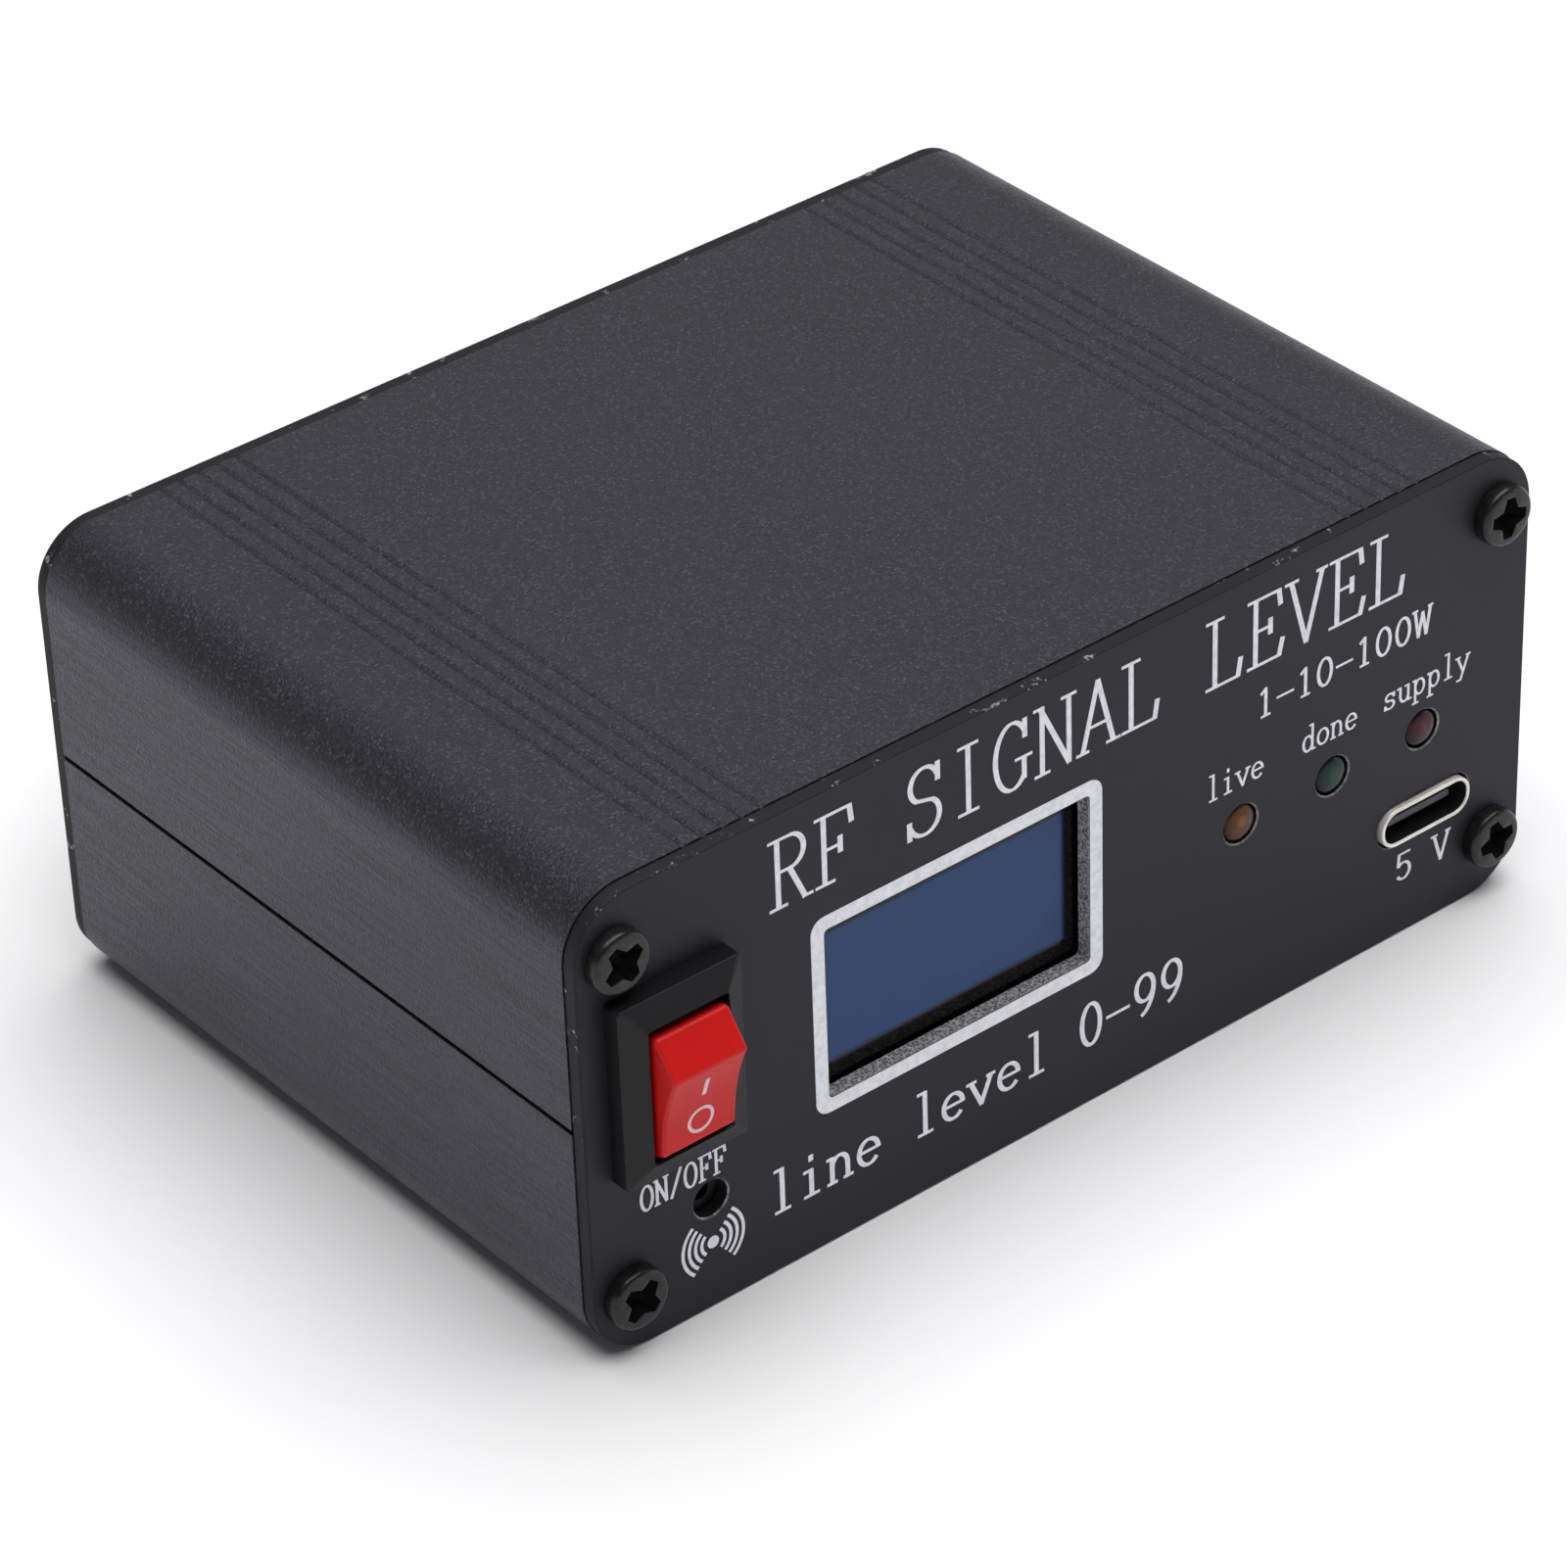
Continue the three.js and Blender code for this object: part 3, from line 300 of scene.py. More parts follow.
class Shape:
    """A mesh put together from loops, bands, lids, slabs and turned profiles."""

    def __init__(self):
        self.mesh = bmesh.new()

    def loop(self, points, depth, lay=upright):
        return [self.mesh.verts.new(lay(a, b, depth)) for a, b in points]

    def band(self, loops, finish=0):
        """Joins each loop to the next."""
        for low, high in zip(loops, loops[1:]):
            for i, corner in enumerate(low):
                j = (i + 1) % len(low)
                face = self.mesh.faces.new((corner, low[j], high[j], high[i]))
                face.material_index = finish

    def lid(self, loops, finish=0):
        """Closes a flat end; each loop after the first is a hole in it."""
        edges = [self.mesh.edges.get((loop[i - 1], loop[i])) for loop in loops for i in range(len(loop))]
        made = bmesh.ops.triangle_fill(self.mesh, use_beauty=True, edges=edges)
        for face in made["geom"]:
            if isinstance(face, bmesh.types.BMFace):
                face.material_index = finish

    def slab(self, adds, cuts, low, high, lay=upright, finish=0):
        """A slab between two depths whose section is the joined outlines less the cut ones."""
        corners, triangles = flat_area(adds, cuts)
        rows = [self.loop(corners, depth, lay) for depth in (low, high)]
        sides = set()
        for triangle in triangles:
            for row in rows:
                self.mesh.faces.new([row[i] for i in triangle]).material_index = finish
            sides |= {(triangle[i - 1], triangle[i]) for i in range(3)}
        for a, b in sides:
            if (b, a) not in sides:
                face = self.mesh.faces.new((rows[0][a], rows[0][b], rows[1][b], rows[1][a]))
                face.material_index = finish
        loose = [v for v in self.mesh.verts if not v.link_faces]
        bmesh.ops.delete(self.mesh, geom=loose, context="VERTS")

    def turned(self, profile, x=0.0, z=0.0, steps=48, finish=0):
        """Turns a profile of (radius, depth) about a line along Y; a radius of 0 closes to a point."""
        loops = []
        for radius, depth in profile:
            if radius:
                loops.append(self.loop(circle(x, z, radius, steps), depth))
            else:
                loops.append([self.mesh.verts.new((x, depth, z))] * steps)
        for low, high in zip(loops, loops[1:]):
            for i in range(steps):
                j = (i + 1) % steps
                corners = dict.fromkeys((low[i], low[j], high[j], high[i]))
                if len(corners) > 2:
                    self.mesh.faces.new(list(corners)).material_index = finish

    def merge_flats(self):
        """Joins the triangles of each flat side into one face, so that its edges can be rounded."""
        limit = math.radians(0.5)
        bmesh.ops.dissolve_limit(
            self.mesh, angle_limit=limit, verts=self.mesh.verts, edges=self.mesh.edges
        )

    def made(self, name):
        bmesh.ops.recalc_face_normals(self.mesh, faces=self.mesh.faces)
        data = bpy.data.meshes.new(name)
        self.mesh.to_mesh(data)
        self.mesh.free()
        data.shade_smooth()
        return data


def evened(obj, rounding=0.0, segments=2, limit=40, sharp=35):
    """Rounds an object's edges and evens its shading."""
    if rounding:
        bevel = obj.modifiers.new("rounded_edges", "BEVEL")
        bevel.width = rounding
        bevel.segments = segments
        bevel.limit_method = "ANGLE"
        bevel.angle_limit = math.radians(limit)
        bevel.miter_outer = "MITER_ARC"
    else:
        obj.data.set_sharp_from_angle(angle=math.radians(sharp))
    normals = obj.modifiers.new("even_shading", "WEIGHTED_NORMAL")
    normals.keep_sharp = True
    normals.weight = 100


def piece(name, data, finishes, nodes=(), slot=None, body="case", at=None, **shading):
    """Makes a named object that rides on a CAD body and stands for its nodes."""
    if at is not None:
        data = data.copy()
        data.transform(at)
    if not data.materials:
        for finish in finishes:
            data.materials.append(finish)
    obj = bpy.data.objects.new(name, data)
    bpy.context.scene.collection.objects.link(obj)
    evened(obj, **shading)
    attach(obj, body)
    if nodes:
        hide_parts(*nodes)
    return obj


def cut_away(data, tool, finishes):
    """The mesh less a tool's mesh; the tool's faces keep their place among the finishes."""
    for mesh in (data, tool):
        for finish in finishes:
            mesh.materials.append(finish)
    pair = [bpy.data.objects.new(mesh.name, mesh) for mesh in (data, tool)]
    for obj in pair:
        bpy.context.scene.collection.objects.link(obj)
    cut = pair[0].modifiers.new("cut", "BOOLEAN")
    cut.operation = "DIFFERENCE"
    cut.solver = "EXACT"
    cut.object = pair[1]
    graph = bpy.context.evaluated_depsgraph_get()
    made = bpy.data.meshes.new_from_object(pair[0].evaluated_get(graph))
    for obj in pair:
        bpy.data.objects.remove(obj)
    made.shade_smooth()
    return made


# ------------------------------------------------------------------ finishes


class Finish:
    """A material on one shader, and short ways to add nodes to it; sheen tints what it mirrors."""

    def __init__(self, name, base, roughness, metallic=0.0, specular=0.5, sheen=(1, 1, 1)):
        self.material = bpy.data.materials.new(name)
        self.material.use_nodes = True
        self.tree = self.material.node_tree
        self.shader = self.tree.nodes["Principled BSDF"]
        self.shader.inputs["Base Color"].default_value = (*base, 1)
        self.shader.inputs["Roughness"].default_value = roughness
        self.shader.inputs["Metallic"].default_value = metallic
        self.shader.inputs["Specular IOR Level"].default_value = specular
        self.shader.inputs["Specular Tint"].default_value = (*sheen, 1)
        self.place = self.add("ShaderNodeTexCoord").outputs["Object"]
        self.shape = None

    def add(self, kind, **settings):
        node = self.tree.nodes.new(kind)
        for key, value in settings.items():
            setattr(node, key, value)
        return node

    def join(self, source, target):
        self.tree.links.new(source, target)

    def axes(self, place=None):
        """A place's X, Y and Z, each on its own."""
        node = self.add("ShaderNodeSeparateXYZ")
        self.join(place or self.place, node.inputs["Vector"])
        return node.outputs

    def stretched(self, x, y, z):
        node = self.add("ShaderNodeMapping")
        node.inputs["Scale"].default_value = (x, y, z)
        self.join(self.place, node.inputs["Vector"])
        return node.outputs["Vector"]

    def noise(self, size, detail=2.0, stretch=None, rough=0.5):
        """Soft noise whose features are about size across."""
        node = self.add("ShaderNodeTexNoise")
        node.inputs["Scale"].default_value = 1 / size
        node.inputs["Detail"].default_value = detail
        node.inputs["Roughness"].default_value = rough
        self.join(self.stretched(*stretch) if stretch else self.place, node.inputs["Vector"])
        return node.outputs["Fac"]

    def cells(self, size, feature="F1"):
        """Distances within cells about size across."""
        node = self.add("ShaderNodeTexVoronoi", feature=feature)
        node.inputs["Scale"].default_value = 1 / size
        self.join(self.place, node.inputs["Vector"])
        return node.outputs["Distance"]

    def span(self, value, low, high, to_low=0.0, to_high=1.0, smooth=True):
        """Maps a value's range from low to high onto another range."""
        node = self.add("ShaderNodeMapRange")
        node.interpolation_type = "SMOOTHSTEP" if smooth else "LINEAR"
        for key, number in (("From Min", low), ("From Max", high), ("To Min", to_low), ("To Max", to_high)):
            node.inputs[key].default_value = number
        self.join(value, node.inputs["Value"])
        return node.outputs["Result"]

    def sum(self, operation, first, second):
        """One sum of two values, each a number or another node's output."""
        node = self.add("ShaderNodeMath", operation=operation)
        for socket, value in zip(node.inputs, (first, second)):
            if isinstance(value, float):
                socket.default_value = value
            else:
                self.join(value, socket)
        return node.outputs["Value"]

    def blend(self, share, first, second):
        """A colour between two, each a colour or another node's output."""
        node = self.add("ShaderNodeMix", data_type="RGBA")
        for socket, value in ((node.inputs[6], first), (node.inputs[7], second)):
            if isinstance(value, (tuple, list, Vector)):
                socket.default_value = (*value, 1)
            else:
                self.join(value, socket)
        self.join(share, node.inputs["Factor"])
        return node.outputs[2]

    def mottle(self, value, low, high, first, second):
        """A colour from first to second as a value goes from low to high."""
        return self.blend(self.span(value, low, high), first, second)

    def paint(self, socket):
        self.join(socket, self.shader.inputs["Base Color"])

    def roughen(self, value, smooth, rough, low=0.3, high=0.7):
        """Roughness from smooth to rough as a value goes from low to high."""
        self.join(self.span(value, low, high, smooth, rough), self.shader.inputs["Roughness"])

    def bump(self, height, depth, strength=1.0):
        """Lays a bump over the ones laid before it."""
        node = self.add("ShaderNodeBump")
        node.inputs["Distance"].default_value = depth
        node.inputs["Strength"].default_value = strength
        self.join(height, node.inputs["Height"])
        if self.shape:
            self.join(self.shape, node.inputs["Normal"])
        self.shape = node.outputs["Normal"]
        self.join(self.shape, self.shader.inputs["Normal"])


COOL = (0.83, 0.79, 1.0)


def scaled(base, factor):
    return tuple(min(1.0, channel * factor) for channel in base)


def side_share(finish):
    """How far a surface faces to the left or the right, from 0 to 1."""
    across = finish.axes(finish.add("ShaderNodeTexCoord").outputs["Normal"])["X"]
    return finish.span(finish.sum("ABSOLUTE", across, 0.0), 0.86, 0.99)


def anodised_finish(base):
    """Blasted and anodised aluminium: a fine grain with painted glints for its sparkle, with drawn lines
    along the sides, which are painted lighter as if lit from the side.
    """
    finish = Finish("blasted_anodising", base, 0.4, 0.0, 0.5, COOL)
    grain = finish.noise(0.26 * MM, 3, rough=0.75)
    pits = finish.span(finish.cells(0.3 * MM), 0.1, 0.55)
    lines = finish.noise(0.2 * MM, 3, stretch=(1, 0.012, 1), rough=0.7)
    # Painted glints: bright specks in random cells stand for the sparkle of the blasted surface.
    glint_cells = finish.add("ShaderNodeTexVoronoi")
    glint_cells.inputs["Scale"].default_value = 1 / (0.25 * MM)
    finish.join(finish.place, glint_cells.inputs["Vector"])
    glint_chance = finish.span(glint_cells.outputs["Color"], 0.45, 0.95)
    painted_glints = finish.sum("MULTIPLY", finish.span(glint_cells.outputs["Distance"], 0.62, 0.2), glint_chance)
    patches = finish.span(finish.noise(14 * MM, 3), 0.35, 0.7)
    toned = finish.blend(patches, scaled(base, 0.9), scaled(base, 1.2))
    speckled = finish.mottle(grain, 0.42, 0.66, scaled(base, 0.25), toned)
    # The brightest grain is raised to bright specks, which are painted glints too.
    grain_and_glints = finish.mottle(grain, 0.58, 0.72, speckled, scaled(base, 3.6))
    # The drawn lines are the sides' own; their lighter, bluer tone is painted light falling on the sides.
    lines_and_side_light = finish.mottle(lines, 0.36, 0.64, scaled(base, 0.3), (0.034, 0.031, 0.044))
    sided = finish.blend(side_share(finish), grain_and_glints, lines_and_side_light)
    finish.paint(finish.blend(painted_glints, sided, (0.058, 0.056, 0.064)))
    finish.roughen(grain, 0.32, 0.48)
    finish.bump(pits, 0.02 * MM, 0.8)
    finish.bump(grain, 0.11 * MM, 1.0)
    finish.bump(lines, 0.02 * MM, 0.8)
    return finish.material


def plate_finish(base):
    """The plates' matt coating, with a faint fine texture."""
    finish = Finish("matt_coating", base, 0.5, 0.0, 0.28, COOL)
    grain = finish.noise(0.22 * MM, 3, rough=0.65)
    cloud = finish.noise(18 * MM, 3)
    tone = finish.mottle(cloud, 0.3, 0.7, scaled(base, 0.92), scaled(base, 1.1))
    finish.paint(finish.mottle(grain, 0.25, 0.75, scaled(base, 0.8), tone))
    finish.roughen(grain, 0.44, 0.54)
    finish.bump(grain, 0.008 * MM, 0.7)
    return finish.material


def worn_edge_finish(base):
    """The coating along the plates' edges, rubbed through in places."""
    finish = Finish("worn_edge", base, 0.6, 0.0, 0.2)
    rubbed = finish.noise(1.6 * MM, 4, rough=0.7)
    fine = finish.noise(0.25 * MM, 2)
    share = finish.sum("MULTIPLY", finish.span(rubbed, 0.60, 0.68), finish.span(fine, 0.4, 0.6))
    finish.paint(finish.blend(share, scaled(base, 0.9), (0.34, 0.34, 0.36)))
    finish.bump(fine, 0.01 * MM, 0.5)
    return finish.material


def bare_edge_finish():
    """Bare aluminium on a hole's chamfer, dulled by handling."""
    finish = Finish("bare_chamfer", (0.24, 0.235, 0.22), 0.42, 0.55)
    dirt = finish.noise(0.3 * MM, 3)
    finish.paint(finish.mottle(dirt, 0.35, 0.65, (0.12, 0.115, 0.105), (0.32, 0.315, 0.30)))
    finish.bump(dirt, 0.01 * MM, 0.5)
    return finish.material


def milled_finish():
    """The rough milled wall of the window."""
    finish = Finish("milled_wall", (0.11, 0.11, 0.115), 0.6, 0.3)
    pits = finish.cells(0.26 * MM)
    chatter = finish.noise(0.12 * MM, 3, rough=0.8)
    marks = finish.span(finish.sum("MULTIPLY", pits, finish.span(chatter, 0.2, 0.8)), 0.05, 0.45)
    finish.paint(finish.blend(marks, (0.09, 0.088, 0.09), (0.72, 0.72, 0.74)))
    finish.roughen(chatter, 0.45, 0.75, 0.2, 0.8)
    finish.bump(marks, 0.06 * MM, 1.0)
    return finish.material


def ink_finish(base):
    """Screen-printed ink, a little uneven."""
    finish = Finish("printed_ink", base, 0.55, 0.0, 0.4)
    streak = finish.noise(0.5 * MM, 4, rough=0.7)
    finish.paint(finish.mottle(streak, 0.35, 0.7, base, scaled(base, 0.82)))
    finish.roughen(streak, 0.48, 0.62)
    finish.bump(streak, 0.006 * MM, 0.4)
    return finish.material


def moulded_finish(name, base, roughness, specular=0.5, grain_size=0.18, relief=0.006):
    """Moulded plastic with a fine spark-eroded grain."""
    finish = Finish(name, base, roughness, 0.0, specular)
    grain = finish.noise(grain_size * MM, 3, rough=0.6)
    cloud = finish.noise(3 * MM, 2)
    tone = finish.mottle(cloud, 0.3, 0.7, scaled(base, 0.93), scaled(base, 1.06))
    finish.paint(finish.mottle(grain, 0.25, 0.7, scaled(base, 0.9), tone))
    finish.roughen(grain, roughness - 0.05, roughness + 0.06)
    finish.bump(grain, relief * MM, 0.6)
    return finish.material


def metal_finish(name, base, roughness, stretch=(1, 1, 1), scratch=0.3, relief=0.004, metallic=1.0):
    """Plated or bare metal, with fine tool marks and faint smears."""
    finish = Finish(name, base, roughness, metallic)
    marks = finish.noise(scratch * MM, 3, stretch=stretch, rough=0.7)
    smear = finish.noise(4 * MM, 3)
    finish.paint(finish.mottle(smear, 0.3, 0.7, base, scaled(base, 0.82)))
    finish.roughen(marks, roughness * 0.75, roughness * 1.35)
    finish.bump(marks, relief * MM, 0.6)
    return finish.material


def black_oxide_finish(base):
    """Oiled black oxide on the plate screws, rubbed brown on its high spots."""
    finish = Finish("black_oxide", base, 0.28, 0.1, 0.36)
    stain = finish.noise(0.6 * MM, 4, rough=0.65)
    fine = finish.noise(0.12 * MM, 2)
    finish.paint(finish.mottle(stain, 0.42, 0.68, base, (0.022, 0.019, 0.016)))
    finish.roughen(fine, 0.24, 0.38)
    finish.bump(stain, 0.02 * MM, 0.4)
    finish.bump(fine, 0.006 * MM, 0.6)
    return finish.material


def away_from(finish, centre, half_width, half_height):
    """Signed distance from a point's place to an upright rectangle's edge."""
    axes = finish.axes()
    reach = []
    for axis, place, half in (("X", centre.x, half_width), ("Z", centre.z, half_height)):
        offset = finish.sum("SUBTRACT", axes[axis], place)
        reach.append(finish.sum("SUBTRACT", finish.sum("ABSOLUTE", offset, 0.0), half))
    return finish.sum("MAXIMUM", reach[0], reach[1])


def display_finish(sizes, centre):
    """Dark glass over a blue panel that ends softly in a black border, partly the panel's own border and
    partly painted shadow of the window's wall; the panel is painted lighter towards the top left, a painted
    reflection.
    """
    blue = tuple(sizes.blue)
    finish = Finish("display_glass", blue, 0.12, 0.0, 0.22)
    # The black border is partly the panel's own border and partly painted shadow cast by the window's wall;
    # its soft edge is the painted shadow's.
    edge = away_from(finish, centre, sizes.lit_width / 2, sizes.lit_height / 2)
    lit = finish.span(edge, 0.22 * MM, -0.28 * MM)
    axes = finish.axes()
    # Painted reflection: the panel turns lighter and greener towards the top left.
    slant, start, end = 0.35, centre.z - 6 * MM, centre.z + 12 * MM
    slope = finish.sum("SUBTRACT", axes["Z"], finish.sum("MULTIPLY", axes["X"], slant))
    rise = finish.span(slope, start, end, smooth=False)
    haze = finish.noise(5 * MM, 2)
    lower = (blue[0] * 1.05, blue[1] * 0.78, blue[2] * 0.92)
    upper = (blue[0], blue[1] * 1.18, blue[2] * 1.06)
    panel = finish.blend(rise, lower, upper)
    hazed = finish.mottle(haze, 0.3, 0.75, panel, scaled(blue, 1.12))
    finish.paint(finish.blend(lit, (0.0025, 0.0025, 0.003), hazed))
    finish.bump(finish.noise(9 * MM, 1), 0.02 * MM, 0.4)
    return finish.material


def lamp_finish(name, base, x, z):
    """Tinted epoxy, with a paler spot over the lead frame's cup that is a painted highlight, and painted
    shade towards the dome's edge.
    """
    finish = Finish(name, base, 0.2, 0.0, 0.18)
    axes, highlight_rise = finish.axes(), 0.25 * MM
    squares = []
    for axis, place in (("X", x), ("Z", z + highlight_rise)):
        offset = finish.sum("SUBTRACT", axes[axis], place)
        squares.append(finish.sum("MULTIPLY", offset, offset))
    reach = finish.sum("SQRT", finish.sum("ADD", squares[0], squares[1]), 0.0)
    # The paler spot over the lead frame's cup, a little above the lens's middle, is a painted highlight.
    cup = finish.span(reach, 0.7 * MM, 0.1 * MM)
    # Painted shade: the lens darkens towards the dome's edge.
    rim = finish.span(reach, 0.8 * MM, 1.5 * MM)
    cloud = finish.noise(0.5 * MM, 3)
    clouded = finish.mottle(cloud, 0.3, 0.7, scaled(base, 0.85), scaled(base, 1.15))
    highlighted_epoxy = finish.blend(finish.sum("MULTIPLY", cup, 0.7), clouded, scaled(base, 2.8))
    finish.paint(finish.blend(finish.sum("MULTIPLY", rim, 0.8), highlighted_epoxy, scaled(base, 0.3)))
    finish.roughen(cloud, 0.16, 0.28)
    finish.bump(cloud, 0.01 * MM, 0.4)
    finish.shader.inputs["Subsurface Weight"].default_value = 0.2
    finish.shader.inputs["Subsurface Radius"].default_value = (0.4 * MM, 0.3 * MM, 0.2 * MM)
    return finish.material


def board_finish():
    """Solder mask over copper tracks."""
    finish = Finish("solder_mask", (0.008, 0.07, 0.028), 0.32, 0.0, 0.5)
    tracks = finish.cells(2.2 * MM, "DISTANCE_TO_EDGE")
    speck = finish.noise(0.4 * MM, 2)
    track = finish.span(tracks, 0.08, 0.05)
    finish.paint(finish.blend(track, (0.006, 0.055, 0.022), (0.015, 0.12, 0.045)))
    finish.roughen(speck, 0.26, 0.4)
    finish.bump(track, 0.03 * MM, 0.6)
    return finish.material


def floor_finish(base):
    finish = Finish("studio_floor", base, 0.7, 0.0, 0.2)
    cloud = finish.noise(400 * MM, 2)
    finish.paint(finish.blend(cloud, base, scaled(base, 1.02)))
    return finish.material


# ------------------------------------------------------------------ lettering


def bow(x, z, across, up, start, end):
    """A round stroke of a letter."""
    steps = max(4, int(abs(end - start) / 12))
    return arc(x, z, across, up, start, end, steps)


def ring(x, z, across, up):
    """A closed round stroke, as two halves that overlap a little."""
    return [bow(x, z, across, up, -4, 184), bow(x, z, across, up, 176, 364)]


def bar(*points):
    """Straight strokes through the points, each on its own."""
    return [[a, b] for a, b in zip(points, points[1:])]


def serif(x, z, half=0.18):
    return [[(x - half, z), (x + half, z)]]


X_HEIGHT = 0.6
DROP = -0.32

# Each letter's strokes in a cell one wide and one high; small letters reach X_HEIGHT and drop to DROP.
LETTERS = {
    "A": bar((0.14, 0), (0.5, 1), (0.86, 0)) + bar((0.26, 0.34), (0.74, 0.34)) + serif(0.14, 0, 0.13)
    + serif(0.86, 0, 0.15),
    "E": bar((0.26, 0), (0.26, 1)) + bar((0.08, 1), (0.82, 1), (0.86, 0.78))
    + bar((0.26, 0.52), (0.62, 0.52)) + bar((0.62, 0.63), (0.62, 0.41))
    + bar((0.08, 0), (0.84, 0), (0.92, 0.24)),
    "F": bar((0.26, 0), (0.26, 1)) + bar((0.08, 1), (0.84, 1), (0.88, 0.76)) + bar((0.26, 0.5), (0.62, 0.5))
    + bar((0.62, 0.61), (0.62, 0.39)) + serif(0.27, 0, 0.2),
    "G": [bow(0.5, 0.5, 0.38, 0.5, 42, 318)] + bar((0.8, 0.98), (0.8, 0.72))
    + bar((0.78, 0.1), (0.78, 0.42)) + serif(0.77, 0.42, 0.18),
    "I": bar((0.5, 0), (0.5, 1)) + serif(0.5, 0, 0.22) + serif(0.5, 1, 0.22),
    "L": bar((0.28, 0), (0.28, 1)) + serif(0.28, 1, 0.2) + bar((0.08, 0), (0.84, 0), (0.9, 0.26)),
    "N": bar((0.2, 0), (0.2, 1)) + bar((0.16, 1), (0.82, 0)) + bar((0.82, 0), (0.82, 1))
    + serif(0.12, 1, 0.1) + serif(0.2, 0, 0.16) + serif(0.82, 1, 0.16),
    "O": ring(0.5, 0.5, 0.38, 0.5),
    "R": bar((0.24, 0), (0.24, 1)) + bar((0.06, 1), (0.52, 1)) + [bow(0.52, 0.76, 0.3, 0.24, 94, -94)]
    + bar((0.24, 0.52), (0.52, 0.52)) + bar((0.5, 0.52), (0.82, 0)) + serif(0.24, 0) + serif(0.88, 0, 0.1),
    "S": [bow(0.5, 0.75, 0.31, 0.25, 20, 240), bow(0.5, 0.26, 0.34, 0.26, 58, -160)]
    + bar((0.34, 0.54), (0.68, 0.48)) + bar((0.81, 0.99), (0.81, 0.74)) + bar((0.16, 0.01), (0.16, 0.26)),
    "V": bar((0.12, 1), (0.5, 0), (0.88, 1)) + serif(0.13, 1, 0.15) + serif(0.87, 1, 0.12),
    "W": bar((0.1, 1), (0.3, 0), (0.5, 0.86), (0.7, 0), (0.9, 1)) + serif(0.1, 1, 0.12)
    + serif(0.9, 1, 0.1),
    "/": bar((0.16, -0.04), (0.84, 1.04)),
    "-": bar((0.1, 0.44), (0.9, 0.44)),
    "0": ring(0.5, 0.5, 0.33, 0.5),
    "1": bar((0.52, 0), (0.52, 1)) + bar((0.3, 0.86), (0.52, 1)) + serif(0.52, 0, 0.2),
    "5": bar((0.24, 1), (0.8, 1)) + bar((0.24, 1), (0.21, 0.54)) + [bow(0.48, 0.32, 0.34, 0.32, 140, -150)],
    "9": ring(0.5, 0.68, 0.32, 0.32) + [bow(0.22, 0.66, 0.6, 0.66, 2, -76)],
    "d": ring(0.44, 0.3, 0.3, 0.3) + bar((0.76, 0), (0.76, 1)) + serif(0.66, 1, 0.1) + serif(0.86, 0, 0.1),
    "e": [bow(0.5, 0.3, 0.34, 0.3, 0, 322)] + bar((0.16, 0.33), (0.84, 0.33)),
    "i": bar((0.5, 0), (0.5, X_HEIGHT)) + serif(0.38, X_HEIGHT, 0.12) + serif(0.5, 0, 0.24)
    + bar((0.5, 0.84), (0.5, 0.94)),
    "l": bar((0.5, 0), (0.5, 1)) + serif(0.38, 1, 0.12) + serif(0.5, 0, 0.24),
    "n": bar((0.22, 0), (0.22, X_HEIGHT)) + serif(0.14, X_HEIGHT, 0.08)
    + [bow(0.49, 0.34, 0.27, 0.26, 170, 0)] + bar((0.76, 0.34), (0.76, 0)) + serif(0.22, 0, 0.15)
    + serif(0.78, 0, 0.14),
    "o": ring(0.5, 0.3, 0.35, 0.3),
    "p": bar((0.24, DROP), (0.24, X_HEIGHT)) + serif(0.16, X_HEIGHT, 0.08) + ring(0.53, 0.3, 0.3, 0.3)
    + serif(0.26, DROP, 0.18),
    "s": [bow(0.5, 0.45, 0.26, 0.15, 10, 250), bow(0.5, 0.16, 0.29, 0.16, 66, -160)]
    + bar((0.38, 0.33), (0.64, 0.3)) + bar((0.77, 0.6), (0.77, 0.45)) + bar((0.2, 0.01), (0.2, 0.15)),
    "u": bar((0.22, X_HEIGHT), (0.22, 0.26)) + [bow(0.49, 0.26, 0.27, 0.26, 180, 360)]
    + serif(0.12, X_HEIGHT, 0.1) + bar((0.76, X_HEIGHT), (0.76, 0)) + serif(0.66, X_HEIGHT, 0.1)
    + serif(0.86, 0, 0.1),
    "v": bar((0.14, X_HEIGHT), (0.5, 0), (0.86, X_HEIGHT)) + serif(0.15, X_HEIGHT, 0.15)
    + serif(0.85, X_HEIGHT, 0.13),
    "y": bar((0.14, X_HEIGHT), (0.5, 0.02)) + bar((0.86, X_HEIGHT), (0.36, DROP), (0.12, DROP))
    + serif(0.15, X_HEIGHT, 0.15) + serif(0.85, X_HEIGHT, 0.13),
    " ": [],
}


def inked(stroke, thick, thin):
    """A stroke as an outline: broad where it runs up and down, fine where it runs across."""
    straight = len(stroke) == 2
    left, right = [], []
    for i, (x, z) in enumerate(stroke):
        ahead = Vector(stroke[min(i + 1, len(stroke) - 1)])
        along = (ahead - Vector(stroke[max(i - 1, 0)])).normalized()
        half = (thin + (thick - thin) * abs(along.y)) / 2
        reach = thin * 0.35 * ((i > 0) - (i == 0)) if straight else 0.0
        spot = Vector((x, z)) + along * reach
        off = Vector((-along.y, along.x)) * half
        left.append(tuple(spot + off))
        right.append(tuple(spot - off))
    return left + right[::-1]


def written(text, left, right, base, height, thick, thin):
    """The outlines of a line of text between two ends."""
    cell = (right - left) / len(text)
    outlines = []
    for i, letter in enumerate(text):
        for stroke in LETTERS[letter]:
            placed = [(left + (i + x) * cell, base + z * height) for x, z in stroke]
            outlines.append(inked(placed, thick, thin))
    return outlines


# ------------------------------------------------------------------ operators


